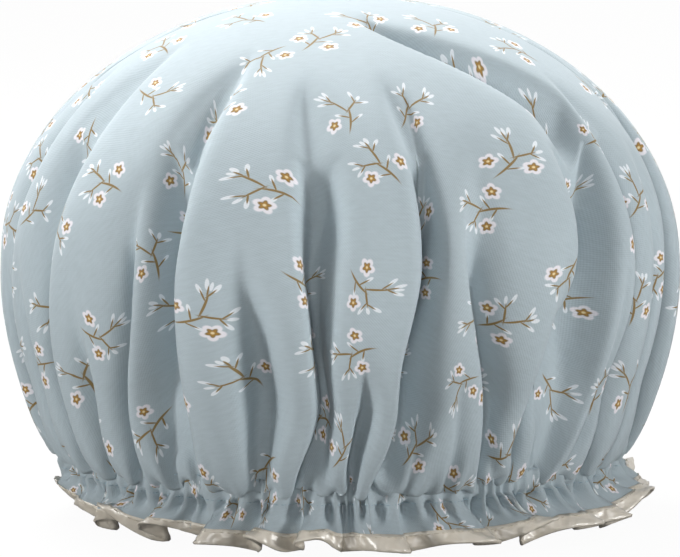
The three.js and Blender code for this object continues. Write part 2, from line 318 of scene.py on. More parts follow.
@dataclass
class CapForm:
    """Sizes of the gathered cloth in millimetres, and the grid of points that both discs follow."""

    columns: int = 400
    fine_columns: int = 800
    top_columns: int = 100
    cell_samples: int = 72
    sectors: int = 1600
    column_step: float = 1.9
    crown_radius: float = 110.0
    crown_rise: float = 86.2
    widest_height: float = 81.6
    overhang_radius: float = 91.6
    overhang_height: float = 18.6
    overhang_round: float = 2.0
    overhang_turn: float = 100.0
    trace_points: tuple[int, int, int] = (300, 200, 40)
    seam_ridge: float = 90.6
    seam_floor: float = 89.9
    upper_seam: float = 24.8
    lower_seam: float = 17.2
    channel_ridge: float = 90.6
    channel_floor: float = 89.7
    elastic_heights: tuple[float, ...] = (23.0, 20.9, 18.8)
    fold_room: float = 15.0
    fold_ahead: float = 6.0
    fold_reach: float = 58.0
    fold_end: float = 34.0
    fold_narrow: float = 0.7
    fold_sharp: float = 1.5
    floor_slope: float = 0.16
    earliest: float = 66.0
    swing_from: float = 86.0
    swing_bend: float = 1.3
    hollow: float = 1.05
    hollow_ahead: float = 8.0
    hollow_narrow: float = 0.6
    hollow_sharp: float = 1.4
    hollow_least: float = 2.0
    hollow_room: float = 20.0
    hollow_end: tuple[float, float] = (178.0, 214.0)
    lean_width: float = 16.0
    lean_reach: float = 20.0
    puckers: int = 112
    pucker_seed: int = 5
    pucker_sizes: tuple[float, float] = (0.55, 1.5)
    pucker_above: tuple[float, float] = (9.0, 30.0)
    pucker_below: tuple[float, float] = (6.0, 18.0)
    pucker_depth: float = 4.6
    pucker_width: float = 1.2
    pucker_spread: float = 7.0
    pucker_swell: float = 0.16
    pucker_sharp: float = 1.6
    seam_pucker: float = 3.6
    ruffle_pucker: float = 5.4
    cloth_to_seam: float = 219.0
    cloth_to_edge: float = 245.0
    first_ring: float = 6.0
    ring_step: float = 3.6
    low_from: float = 178.0
    low_step: float = 2.2
    ruffle_shares: tuple[float, ...] = (
        0.07, 0.14, 0.21, 0.29, 0.37, 0.45, 0.53, 0.6, 0.68, 0.76, 0.84, 0.92, 1.0)
    bound_share: float = 0.6
    ruffle_middle: float = 90.6
    ruffle_flare: float = 4.5
    ruffle_side_flare: float = 2.0
    ruffle_swing: float = 6.0
    flare_bend: float = 1.1
    wave_bend: float = 1.04
    wave_facets: tuple[tuple[float, float], ...] = (
        (0.12, 20), (0.24, 58), (0.2, 30), (0.12, -30), (0.22, -108), (0.1, -25))
    wave_start: float = 0.1
    wave_room: float = 18.5
    wave_growth: float = 0.55
    wave_points: int = 241
    wave_lean: float = 0.9
    front_lean: float = 0.3
    lean_sway: tuple[float, ...] = (0.25, 1.3, 0.5)
    facet_sway: tuple[float, ...] = (0.3, 1.7, 0.6)
    crest_lift: float = 4.8
    side_crest: float = 0.4
    crest_sway: tuple[float, ...] = (0.7, 1.9, 1.3)
    valley_lift: float = 1.3
    valley_sway: tuple[float, ...] = (1.0, 2.7, 0.4)
    edge_sway: tuple[float, ...] = (1.8, 2.3, 0.7)
    crease: float = 0.02
    wave_width: float = 8.4
    edge_height: float = 1.2
    lining_turn: float = 197.0
    lining_ease: int = 6
    lining_blur: int = 2
    lining_rows: int = 4
    lining_gap: float = 0.9
    ruffle_gap: float = 0.3
    lining_channel: float = 6.2
    top_rise: float = 0.15
    cut_room: float = 1.02
    folds: list[Fold] = field(default_factory=list)
    rings: list[float] = field(default_factory=list)
    outside: np.ndarray = field(default_factory=lambda: np.zeros(0))
    normals: np.ndarray = field(default_factory=lambda: np.zeros(0))

    def __post_init__(self) -> None:
        """Works out the rings of the flat disc and the points of the gathered cloth."""
        self.folds = sorted([*FRONT_FOLDS, *BackFolds().build()], key=lambda f: f.foot)
        upper = np.arange(self.first_ring, self.low_from, self.ring_step)
        steps = round((self.cloth_to_seam - upper[-1]) / self.low_step)
        lower = np.linspace(upper[-1], self.cloth_to_seam, steps + 1)
        self.crown_rings = np.concatenate([upper, lower[1:]])
        channel = self.upper_seam - np.array([*self.elastic_heights, self.lower_seam])
        self.seam_row = len(self.crown_rings) - 1
        self.lower_row = self.seam_row + len(channel)
        below = self.cloth_to_seam + channel[-1]
        ruffle = below + (self.cloth_to_edge - below) * np.array(self.ruffle_shares)
        self.rings = [*self.crown_rings, *(self.cloth_to_seam + channel), *ruffle]
        self.bound_row = self.lower_row + 1 + self.ruffle_shares.index(self.bound_share)
        settled = self.halve_rows(self.refine(Settling(self).run(self.gather())))
        for row in range(self.lower_row, len(self.rings)):
            angles, share = self.fine_ring(self.rings[row])
            settled[row] = self.spread(self.ruffle_ring(row, angles), share, self.fine_columns)
        self.turns = np.arctan2(settled[..., 0], -settled[..., 1])
        self.outside = self.pucker(self.lap_over(settled))
        self.normals = self.outward(self.outside)

    def meridian(self) -> np.ndarray:
        """Traces the crown's ridge line from its top to the upper seam.

        Returns:
            Radius and height at each crown ring, and the outward direction there in radius and height.
        """
        top = np.linspace(math.pi / 2, 0, self.trace_points[0])
        upper = np.stack([self.crown_radius * np.cos(top), self.widest_height + self.crown_rise * np.sin(top)], 1)
        turn = math.acos(self.overhang_radius / self.crown_radius)
        drop = (self.widest_height - self.overhang_height) / math.sin(turn)
        low = np.linspace(0, turn, self.trace_points[1])[1:]
        lower = np.stack([self.crown_radius * np.cos(low), self.widest_height - drop * np.sin(low)], 1)
        ahead = lower[-1] - lower[-2]
        ahead /= np.linalg.norm(ahead)
        out = np.array([-ahead[1], ahead[0]])
        centre = lower[-1] - self.overhang_round * out
        last = -math.radians(self.overhang_turn)
        bend = np.linspace(math.atan2(out[1], out[0]), last, self.trace_points[2])[1:]
        tuck = centre + self.overhang_round * np.stack([np.cos(bend), np.sin(bend)], 1)
        path = np.concatenate([upper, lower, tuck, [[self.seam_ridge, self.upper_seam]]])
        run = run_along(path)
        at = self.crown_rings / self.cloth_to_seam * run[-1]
        radius, height = (np.interp(at, run, line) for line in path.T)
        slope_r, slope_z = np.gradient(radius), np.gradient(height)
        along = np.hypot(slope_r, slope_z)
        return np.stack([radius, height, -slope_z / along, slope_r / along])

    def fold_angles(self, ring: float) -> np.ndarray:
        """Angle of each fold's line at a ring of the disc, in degrees."""
        return np.array([f.angle(ring, self.cloth_to_seam) for f in self.folds])

    def gather(self) -> np.ndarray:
        """Lays the outer disc's grid into its first gathers.

        Returns:
            Points in millimetres, by ring and column.
        """
        radius, height, out_r, out_z = self.meridian()
        grid = []
        for row, ring in enumerate(self.rings):
            angles, share = self.fine_ring(ring)
            if row <= self.seam_row:
                loop = self.crown_ring(ring, angles, (radius[row], height[row]), (out_r[row], out_z[row]))
            else:
                loop = self.ruffle_ring(row, angles)
            grid.append(self.spread(loop, share, self.columns))
        return np.array(grid)

    def fine_ring(self, ring: float) -> tuple[np.ndarray, np.ndarray]:
        """Samples a ring finely, cell by cell between its folds.

        Args:
            ring: radius on the flat disc.

        Returns:
            Angles in degrees, and each sample's share of the way across its cell.
        """
        lines = self.fold_angles(ring)
        lines = np.append(lines, lines[0] + 360)
        count = self.cell_samples
        share = np.tile(np.arange(count) / count, len(self.folds))
        cell = np.repeat(np.arange(len(self.folds)), count)
        return lines[cell] + (lines[cell + 1] - lines[cell]) * share, share

    def crown_ring(self, ring: float, angles: np.ndarray, ridge: tuple[float, float],
                   normal: tuple[float, float]) -> np.ndarray:
        """Shapes one ring of the crown.

        Args:
            ring: radius on the flat disc.
            angles: fine samples, in degrees.
            ridge: radius and height of the ridge line.
            normal: outward direction there, in radius and height.

        Returns:
            Points in millimetres.
        """
        sink = np.zeros_like(angles)
        for fold, line in zip(self.folds, self.fold_angles(ring)):
            begin = max(fold.start, self.earliest)
            grown = float(smoothstep(begin - self.fold_ahead, begin + self.fold_reach, ring))
            away = np.radians((angles - line + 180) % 360 - 180) * ridge[0]
            width = np.where(away < 0, fold.left, fold.right) * (self.fold_narrow + (1 - self.fold_narrow) * grown)
            sink += fold.depth * grown * np.exp(-((np.abs(away) / width) ** self.fold_sharp))
        sunk = np.tanh(sink / self.fold_room)
        end = float(smoothstep(self.cloth_to_seam - self.fold_end, self.cloth_to_seam, ring))
        floor = self.seam_floor + self.floor_slope * max(0.0, ridge[1] - self.upper_seam)
        sunk_radius = (ridge[0] - normal[0] * self.fold_room) * (1 - end) + floor * end
        sunk_height = (ridge[1] - normal[1] * self.fold_room) * (1 - end) + max(ridge[1], self.upper_seam) * end
        radius = ridge[0] + (sunk_radius - ridge[0]) * sunk
        height = ridge[1] + (sunk_height - ridge[1]) * sunk
        return around(radius, np.radians(angles), height)

    def ruffle_ring(self, row: int, angles: np.ndarray) -> np.ndarray:
        """Shapes one ring of the elastic's channel or of the ruffle under it.

        Args:
            row: the ring's number.
            angles: fine samples, in degrees.

        Returns:
            Points in millimetres.
        """
        turn = np.radians(angles)
        if row < self.lower_row:
            return around(self.channel_ridge, turn, self.elastic_heights[row - self.seam_row - 1])
        down = 0.0 if row == self.lower_row else self.ruffle_shares[row - self.lower_row - 1]
        lines = self.wave_lines()
        place = (angles - lines[0]) % 360 + lines[0]
        wave = np.clip(np.searchsorted(lines, place, side="right") - 1, 0, len(lines) - 2)
        wide = lines[wave + 1] - lines[wave]
        across = (place - lines[wave]) / wide
        pitch = np.radians(wide) * self.ruffle_middle
        forward, rise = np.zeros_like(turn), np.zeros_like(turn)
        side = np.sign(np.sin(np.radians((lines[:-1] + lines[1:]) / 2)))
        for k in range(len(lines) - 1):
            path, ahead, outward = self.petal(k, down, side[k])
            forward[wave == k] = np.interp(across[wave == k], path, ahead)
            rise[wave == k] = np.interp(across[wave == k], path, outward)
        room = np.minimum(pitch, self.wave_room)
        out = rise * room
        aslant = self.front_lean + (1 - self.front_lean) * np.abs(np.sin(turn))
        lean = self.wave_lean * (side[wave] * aslant + sway(wave, *self.lean_sway))
        aside = (forward - across) * pitch + lean * out
        flare = self.ruffle_side_flare + (self.ruffle_flare - self.ruffle_side_flare) * np.cos(turn) ** 2
        flare = flare + self.ruffle_swing * np.sin(turn)
        radius = self.ruffle_middle + flare * down**self.flare_bend + out - 0.5 * rise.max() * room
        valley = self.valley_lift * (1 + sway(np.arange(len(lines)) % (len(lines) - 1), *self.valley_sway))
        lift = self.crest_lift * (1 + self.side_crest * np.abs(np.sin(turn)) + sway(wave, *self.crest_sway))
        lift = lift * rise / max(rise.max(), 1e-6) + valley[wave] * (1 - across) + valley[wave + 1] * across
        lift = lift + np.sin(FULL_TURN * across) * sway(wave, *self.edge_sway)
        height = self.lower_seam + (self.edge_height - self.lower_seam) * down + down**2 * lift
        return around(radius, turn + aside / radius, height)

    def petal(self, wave: int, down: float, side: float) -> tuple[np.ndarray, np.ndarray, np.ndarray]:
        """Traces one wave of the ruffle from valley to valley, as flat facets with creases between them.

        Args:
            wave: the wave's number.
            down: share of the way from the gathers to the edge, towards which the facets turn further.
            side: 1 for a wave that laps to the right, -1 for one that laps to the left.

        Returns:
            Share of the cloth, and the way round and outwards there in widths of the wave.
        """
        facets = self.wave_facets if side > 0 else tuple((size, -turn) for size, turn in reversed(self.wave_facets))
        sizes = np.array([size for size, _ in facets])
        k = np.arange(len(facets))
        amount, rate, more = self.facet_sway
        sizes = sizes * (1 + sway(wave, amount, rate + more * k, k))
        ends = np.concatenate([[0], np.cumsum(sizes) / sizes.sum()])
        grown = (self.wave_start + (1 - self.wave_start) * down) ** self.wave_growth
        turns = np.radians([turn for _, turn in facets]) * self.wave_bend * grown
        knots = np.concatenate([[begin + self.crease, end - self.crease] for begin, end in zip(ends, ends[1:])])
        path = np.linspace(0, 1, self.wave_points)
        swing = np.interp(path, knots, np.repeat(turns, 2))
        ahead = np.concatenate([[0], np.cumsum(np.cos((swing[1:] + swing[:-1]) / 2))])
        outward = np.concatenate([[0], np.cumsum(np.sin((swing[1:] + swing[:-1]) / 2))])
        return path, ahead / ahead[-1], (outward - outward[-1] * path) / ahead[-1]

    def wave_lines(self) -> np.ndarray:
        """Picks the lines between the ruffle's waves: the crown's folds, without those too soon after another.

        Returns:
            Degrees round from the front, and the first line again after a full turn.
        """
        lines = [self.folds[0].foot]
        for fold in self.folds[1:]:
            if fold.foot - lines[-1] >= self.wave_width:
                lines.append(fold.foot)
        return np.array([*lines, lines[0] + 360])

    def spread(self, loop: np.ndarray, share: np.ndarray, count: int) -> np.ndarray:
        """Spaces a ring's columns evenly along the cloth between one fold and the next.

        Args:
            loop: fine points of the ring.
            share: each point's share of the way across its cell.
            count: number of columns.

        Returns:
            One point per column.
        """
        marks = self.fold_columns() * (count // self.columns)
        closed = np.concatenate([loop, loop[:1]])
        run = run_along(closed)
        starts = np.append(np.nonzero(share == 0)[0], len(loop))
        columns = np.arange(marks[0], marks[0] + count)
        wanted = np.interp(columns, marks, run[starts])
        points = np.stack([np.interp(wanted, run, line) for line in closed.T], 1)
        return np.roll(points, marks[0], axis=0)

    def fold_columns(self) -> np.ndarray:
        """Finds the column of the grid that each fold's line follows.

        Returns:
            Column numbers, and the first one again after a full turn.
        """
        middle = np.array([(f.foot + f.middle) / 2 for f in self.folds])
        marks = np.round((middle + 180) / 360 * self.columns).astype(int)
        return np.append(marks, marks[0] + self.columns)

    def refine(self, grid: np.ndarray) -> np.ndarray:
        """Doubles the columns, each new one on a smooth curve through its neighbours.

        Args:
            grid: points by ring and column.

        Returns:
            The finer grid.
        """
        ahead = np.roll(grid, -1, 1)
        middle = (9 * (grid + ahead) - np.roll(grid, 1, 1) - np.roll(grid, -2, 1)) / 16
        return np.stack([grid, middle], 2).reshape(len(grid), self.fine_columns, 3)

    def halve_rows(self, grid: np.ndarray) -> np.ndarray:
        """Adds a row between each two of the upper crown, where the folds cross the rows aslant.

        Args:
            grid: points by ring and column.

        Returns:
            The grid with the added rows, which the rings and row numbers now count too.
        """
        last = int(np.searchsorted(self.crown_rings, self.low_from))
        upper = grid[:last]
        ends = np.concatenate([2 * upper[:1] - upper[1:2], upper, grid[last : last + 1]])
        between = (9 * (upper[:-1] + upper[1:]) - ends[:-3] - ends[3:]) / 16
        added = (self.crown_rings[: last - 1] + self.crown_rings[1:last]) / 2
        at = np.arange(1, last)
        self.crown_rings = np.insert(self.crown_rings, at, added)
        self.rings = list(np.insert(np.array(self.rings), at, added))
        self.seam_row, self.lower_row, self.bound_row = (
            row + last - 1 for row in (self.seam_row, self.lower_row, self.bound_row))
        return np.insert(grid, at, between, axis=0)

    def lap_over(self, grid: np.ndarray) -> np.ndarray:
        """Hollows the cloth beside each fold and leans the panel on its steep side out over the hollow.

        Args:
            grid: settled points by ring and column.

        Returns:
            The finished points.
        """
        count = self.fine_columns
        marks = self.fold_columns()[:-1] * count / self.columns
        columns = np.arange(count)
        lines = self.meridian().T
        for row in range(1, self.seam_row):
            ring = self.crown_rings[row]
            radius, height, out_r, out_z = lines[row]
            reach, turn, rise = off_axis(grid[row]), self.turns[row], grid[row, :, 2]
            sunk = (radius - reach) * out_r + (height - rise) * out_z
            upper = 1 - np.clip(sunk / self.fold_room, 0, 1)
            pitch = FULL_TURN * radius / count
            fade = 1 - smoothstep(*self.hollow_end, ring)
            sink, aside = np.zeros(count), np.zeros(count)
            for fold, mark in zip(self.folds, marks):
                grown = smoothstep(fold.start - self.hollow_ahead, fold.start + self.fold_reach, ring) * fade
                above = max(0.0, self.swing_from - ring) / (self.swing_from - self.earliest / 2)
                line = mark + fold.swing * above**self.swing_bend / 360 * count
                away = ((columns - line + count / 2) % count - count / 2) * pitch
                opened = self.hollow_narrow + (1 - self.hollow_narrow) * grown
                width = np.where(away < 0, fold.left, fold.right) * opened
                sink += self.hollow * fold.depth * grown * np.exp(-((np.abs(away) / width) ** self.hollow_sharp))
                aside -= fold.lean * grown * np.exp(-((away / self.lean_width) ** 2))
            room = self.hollow_room - np.clip(sunk, 0, self.hollow_room - 1)
            sink = room * np.tanh(sink / room)
            reach = np.maximum(reach - sink * out_r, min(self.seam_floor, radius - self.hollow_least))
            turn = turn + aside * upper / np.maximum(reach, self.lean_reach)
            grid[row] = around(reach, turn, rise - sink * out_z)
        return grid

    def pucker(self, grid: np.ndarray) -> np.ndarray:
        """Draws the cloth into small tight puckers on both sides of the elastic.

        Args:
            grid: points by ring and column.

        Returns:
            The puckered points.
        """
        draw = np.random.default_rng(self.pucker_seed)
        widths = draw.uniform(*self.pucker_sizes, self.puckers)
        ends = np.concatenate([[0], np.cumsum(widths)]) / widths.sum() * self.fine_columns
        above, below = (draw.uniform(*ends_at, self.puckers) for ends_at in (self.pucker_above, self.pucker_below))
        column = np.arange(self.fine_columns)
        cell = np.searchsorted(ends, column, side="right") - 1
        pitch = FULL_TURN * self.channel_ridge / self.fine_columns
        left, right = (column - ends[cell]) * pitch, (ends[cell + 1] - column) * pitch
        valley = np.where(left < right, cell, (cell + 1) % self.puckers)
        away = np.minimum(left, right)
        bottom = self.rings[self.lower_row]
        for row, ring in enumerate(self.rings):
            width = self.pucker_width * (1 + max(0.0, ring - bottom) / self.pucker_spread)
            swell = self.pucker_swell * np.sin(math.pi * left / (left + right))
            crease = np.exp(-((away / width) ** self.pucker_sharp)) - swell
            if ring <= self.cloth_to_seam:
                near = 1 - smoothstep(0, 1, (self.cloth_to_seam - ring) / above[valley])
            else:
                near = 1 - smoothstep(0, 1, (ring - bottom) / below[valley])
            reach = off_axis(grid[row])
            depth = self.pucker_depth
            if row >= self.lower_row:
                depth = self.seam_pucker if row == self.lower_row else self.ruffle_pucker
            floor = self.channel_floor if row < self.lower_row else reach - depth
            drawn = np.maximum(reach - depth * near * crease, np.minimum(floor, reach))
            grid[row, :, :2] *= (drawn / reach)[:, None]
        return grid

    def outward(self, grid: np.ndarray) -> np.ndarray:
        """Outward directions of a grid's points.

        Args:
            grid: points by ring and column.

        Returns:
            Unit vectors of the same layout.
        """
        across = np.roll(grid, -1, 1) - np.roll(grid, 1, 1)
        normal = np.cross(np.gradient(grid, axis=0), across)
        return normal / (np.linalg.norm(normal, axis=2, keepdims=True) + 1e-12)

    def inside(self) -> np.ndarray:
        """Lays the lining's grid inside the outer disc, parted from it by the elastic in the channel.

        Returns:
            Points in millimetres, by ring and column.
        """
        gap = np.where(np.arange(len(self.rings)) > self.lower_row, self.ruffle_gap, self.lining_gap)
        grid = self.outside - self.normals * gap[:, None, None]
        first = int(np.searchsorted(self.crown_rings, self.lining_turn))
        grid[: first + 1] = self.under_folds(first)
        grid[self.seam_row] = self.drawn_in(self.seam_row, self.lining_gap)
        for row in range(first + 1, self.seam_row):
            share = (row - first) / (self.seam_row - first)
            grid[row] = grid[first] * (1 - share) + grid[self.seam_row] * share
        for row in range(self.seam_row + 1, self.lower_row):
            grid[row] = self.drawn_in(row, self.lining_channel)
        return grid

    def drawn_in(self, row: int, by: float) -> np.ndarray:
        """Moves one ring of the outer disc towards the axis.

        Args:
            row: the ring's number.
            by: how far it moves.

        Returns:
            The ring's points in millimetres.
        """
        ring = self.outside[row].copy()
        ring[:, :2] *= (1 - by / off_axis(ring))[:, None]
        return ring

    def sector(self, turn: np.ndarray) -> np.ndarray:
        """Number of the narrow sector that each angle falls in."""
        return ((turn / FULL_TURN + 0.5) * self.sectors).astype(int) % self.sectors

    def under_folds(self, last: int) -> np.ndarray:
        """Lays the lining's rings under the deepest cloth round each point, so that no fold shows it.

        Args:
            last: number of the last ring.

        Returns:
            Points in millimetres, by ring and column.
        """
        radius, height, out_r, out_z = (line[: last + 1, None] for line in self.meridian())
        cloth, turn = self.outside[: last + 1], self.turns[: last + 1]
        sunk = (radius - off_axis(cloth)) * out_r + (height - cloth[..., 2]) * out_z
        deepest = np.full((last + 1, self.sectors), -1.0)
        for row in range(last + 1):
            np.maximum.at(deepest[row], self.sector(np.arctan2(cloth[row, :, 0], -cloth[row, :, 1])), sunk[row])
        deepest = np.max([np.roll(deepest, k, 1) for k in range(-self.lining_ease, self.lining_ease + 1)], axis=0)
        padded = np.pad(deepest, ((self.lining_rows, self.lining_rows), (0, 0)), mode="edge")
        deepest = np.max([padded[k : k + last + 1] for k in range(2 * self.lining_rows + 1)], axis=0)
        under = np.take_along_axis(deepest, self.sector(turn), 1) + self.lining_gap
        under = np.mean([np.roll(under, k, 1) for k in range(-self.lining_blur, self.lining_blur + 1)], axis=0)
        return around(radius - under * out_r, turn, height - under * out_z)

    def disc(self, grid: np.ndarray) -> bmesh.types.BMesh:
        """Makes a disc of cloth, ring by ring, with its flat cut as UV, and moves it onto a grid.

        Args:
            grid: points by ring and column.

        Returns:
            The disc.
        """
        bm = bmesh.new()
        count = self.top_columns
        bmesh.ops.create_circle(bm, cap_ends=True, cap_tris=True, segments=count, radius=self.rings[0])
        before = self.rings[0]
        for ring in self.rings[1:]:
            rim = [e for e in bm.edges if e.is_boundary]
            if FULL_TURN * ring / count > self.column_step and count < self.fine_columns:
                bmesh.ops.subdivide_edges(bm, edges=rim, cuts=1)
                count *= 2
                rim = [e for e in bm.edges if e.is_boundary]
                for vert in {v for e in rim for v in e.verts}:
                    vert.co *= before / vert.co.length
            for part in bmesh.ops.extrude_edge_only(bm, edges=rim)["geom"]:
                if isinstance(part, bmesh.types.BMVert):
                    part.co *= ring / part.co.length
            before = ring
        cut = bm.loops.layers.uv.new("cut")
        for face in bm.faces:
            for loop in face.loops:
                flat = loop.vert.co / self.cut_side()
                loop[cut].uv = (0.5 + flat.x, 0.5 + flat.y)
        rings = np.array(self.rings)
        top = grid[0].mean(axis=0) + [0, 0, self.top_rise]
        for vert in bm.verts:
            reach = math.hypot(vert.co.x, vert.co.y)
            if reach < rings[0] / 2:
                vert.co = Vector(top) * MM
                continue
            row = int(np.argmin(np.abs(rings - reach)))
            turn = math.atan2(vert.co.x, -vert.co.y)
            column = round((turn + math.pi) / FULL_TURN * self.fine_columns) % self.fine_columns
            vert.co = Vector(grid[row, column]) * MM
        bmesh.ops.recalc_face_normals(bm, faces=bm.faces)
        return bm

    def cut_side(self) -> float:
        """Side of a square that just holds the flat cut, in millimetres: one unit of UV."""
        return 2 * self.cut_room * self.cloth_to_edge


class Link(Enum):
    """Kinds of threads that hold the cloth's points together, with their stiffness against pull and push."""

    ROUND = (0.9, 0.9)
    DOWN = (0.9, 0.08)
    SLANT = (0.06, 0.06)
    ROUND_BEND = (0.0, 0.15)
    DOWN_BEND = (0.0, 0.3)


@dataclass
class Settling:
    """Lets the crown's cloth settle between its top and the elastic: it fills out and its spare width folds in.

    Each step moves the points out a little and then sets the length of every thread in turn. The points of a
    ring keep their order round the cap, so no fold passes through the next.
    """

    form: CapForm
    steps: int = 300
    puff: float = 0.035
    puff_fade: float = 0.8
    held_rows: int = 7
    spare_from: float = 160.0
    spare_kept: float = 0.6
    spare_bend: float = 1.5
    spare_by: float = 0.6
    deepest: float = 18.0
    low_ring: float = 130.0
    upper_depth: float = 0.8
    least_depth: float = 2.0
    least_step: float = 0.08
    most_turn: float = 0.02
    room: float = 1.004
    smoothing: int = 6
    slack: float = 0.6

    def run(self, grid: np.ndarray) -> np.ndarray:
        """Settles the cloth.

        Args:
            grid: first points by ring and column, in millimetres.

        Returns:
            The settled points.
        """
        form = self.form
        rows = slice(self.held_rows, form.seam_row + 1)
        cloth = grid[rows].copy()
        self.count = form.columns
        flat = form.crown_rings[rows]
        radius, height = (line[rows] for line in form.meridian()[:2])
        self.down = np.hypot(np.diff(radius), np.diff(height))
        begin = np.linalg.norm(np.roll(cloth, -1, 1) - cloth, axis=2).mean(1)
        spare = np.clip((flat - self.spare_from) / (form.cloth_to_seam - self.spare_from), 0, 1)
        goal = np.maximum(begin, FULL_TURN * flat / self.count * (1 - (1 - self.spare_kept) * spare**self.spare_bend))
        low = np.maximum(radius - self.deepest, form.seam_floor)
        floor = np.where(flat > self.low_ring, low, radius - self.deepest * self.upper_depth)
        floor = np.minimum(floor, radius - self.least_depth)
        ceiling = np.where(height < form.widest_height, radius + self.slack, form.crown_radius)
        self.free = np.ones(cloth.shape[:2])
        self.free[[0, -1]] = 0
        self.free = self.free.ravel()
        links = self.links(cloth.shape[0])
        points = cloth.reshape(-1, 3)
        for step in range(self.steps):
            done = step / self.steps
            around = begin + (goal - begin) * min(1.0, done / self.spare_by)
            push = self.puff * (1 - self.puff_fade * done) * form.outward(cloth)
            points += push.reshape(-1, 3) * self.free[:, None]
            for kind, first, second, row in links:
                self.pull(points, kind, first, second, self.rest(kind, row, around))
                if kind is Link.ROUND:
                    self.keep_order(points, first, second)
            self.stay_between(points, floor, ceiling)
        settled = grid.copy()
        settled[rows] = cloth
        return self.smooth(settled)

    def links(self, rows: int) -> list[tuple[Link, np.ndarray, np.ndarray, np.ndarray]]:
        """Sorts the threads into groups in which no point comes twice.

        Args:
            rows: number of rings.

        Returns:
            Each group's kind, first points, second points and ring of each thread.
        """
        index = np.arange(rows * self.count).reshape(rows, self.count)
        ring = np.repeat(np.arange(rows), self.count).reshape(rows, self.count)
        column = np.arange(self.count)
        groups = []
        for part in (0, 1):
            pick = column[column % 2 == part]
            groups.append((Link.ROUND, index[:, pick], index[:, (pick + 1) % self.count], ring[:, pick]))
        for kind, shift in ((Link.DOWN, 0), (Link.SLANT, 1), (Link.SLANT, -1)):
            for part in (0, 1):
                pick = np.arange(part, rows - 1, 2)
                groups.append((kind, index[pick], np.roll(index, -shift, 1)[pick + 1], ring[pick]))
        for part in (0, 2):
            pick = column[(column % 4 == part) | (column % 4 == part + 1)]
            groups.append((Link.ROUND_BEND, index[:, pick], index[:, (pick + 2) % self.count], ring[:, pick]))
            pick = np.array([r for r in range(rows - 2) if r % 4 in (part, part + 1)])
            groups.append((Link.DOWN_BEND, index[pick], index[pick + 2], ring[pick]))
        return [(kind, a.ravel(), b.ravel(), r.ravel()) for kind, a, b, r in groups]

    def rest(self, kind: Link, row: np.ndarray, around: np.ndarray) -> np.ndarray:
        """Rest length of each thread of a group.

        Args:
            kind: the kind of thread.
            row: the ring that each thread starts on.
            around: spacing of the columns on each ring.

        Returns:
            The lengths.
        """
        if kind is Link.ROUND:
            return around[row]
        if kind is Link.DOWN:
            return self.down[row]
        if kind is Link.SLANT:
            return np.hypot(self.down[row], (around[row] + around[row + 1]) / 2)
        if kind is Link.ROUND_BEND:
            return 2 * around[row]
        return self.down[row] + self.down[row + 1]

    def pull(self, points: np.ndarray, kind: Link, first: np.ndarray, second: np.ndarray, rest: np.ndarray) -> None:
        """Moves both ends of each thread towards its rest length.

        Args:
            points: the cloth's points, which are moved.
            kind: the kind of thread.
            first: points that the threads start on.
            second: points that they end on.
            rest: their rest lengths.
        """
        apart = points[second] - points[first]
        length = np.sqrt((apart * apart).sum(1)) + 1e-9
        stiff = np.where(length > rest, *kind.value)
        total = self.free[first] + self.free[second] + 1e-9
        move = (stiff * (length - rest) / length / total)[:, None] * apart
        points[first] += move * self.free[first][:, None]
        points[second] -= move * self.free[second][:, None]

    def keep_order(self, points: np.ndarray, first: np.ndarray, second: np.ndarray) -> None:
        """Keeps neighbours on a ring from passing each other round the cap.

        Args:
            points: the cloth's points, which are moved.
            first: points of the ring.
            second: the next point round from each.
        """
        a, b = points[first], points[second]
        ahead = (a[:, 0] * b[:, 1] - a[:, 1] * b[:, 0]) / (off_axis(a) * off_axis(b))
        short = np.clip(self.least_step * FULL_TURN / self.count - ahead, 0, self.most_turn) / 2
        points[first, :2] -= np.stack([-a[:, 1], a[:, 0]], 1) * (short * self.free[first])[:, None]
        points[second, :2] += np.stack([-b[:, 1], b[:, 0]], 1) * (short * self.free[second])[:, None]

    def stay_between(self, points: np.ndarray, floor: np.ndarray, ceiling: np.ndarray) -> None:
        """Holds the cloth outside what fills the cap and inside the size of the crown.

        Args:
            points: the cloth's points, which are moved.
            floor: least radius on each ring.
            ceiling: greatest radius on each ring.
        """
        form = self.form
        reach = off_axis(points)
        goal = np.clip(reach, np.repeat(floor, self.count), np.repeat(ceiling, self.count))
        points[:, :2] *= (1 + (goal / reach - 1) * 0.5 * (self.free > 0))[:, None]
        above = np.maximum(points[:, 2] - form.widest_height, 0)
        size = np.hypot(off_axis(points) / form.crown_radius, above / form.crown_rise)
        back = np.where((size > self.room) & (self.free > 0), 1 + (self.room / size - 1) * 0.5, 1.0)
        points[:, :2] *= back[:, None]
        points[:, 2] -= above * (1 - back)

    def smooth(self, grid: np.ndarray) -> np.ndarray:
        """Evens the cloth along its folds, so that their edges run clean.

        Args:
            grid: settled points by ring and column.

        Returns:
            The evened points.
        """
        last = self.form.seam_row
        for _ in range(self.smoothing):
            middle = (grid[: last - 1] + grid[2 : last + 1]) / 2
            grid[1:last] += 0.5 * (middle - grid[1:last])
        return grid


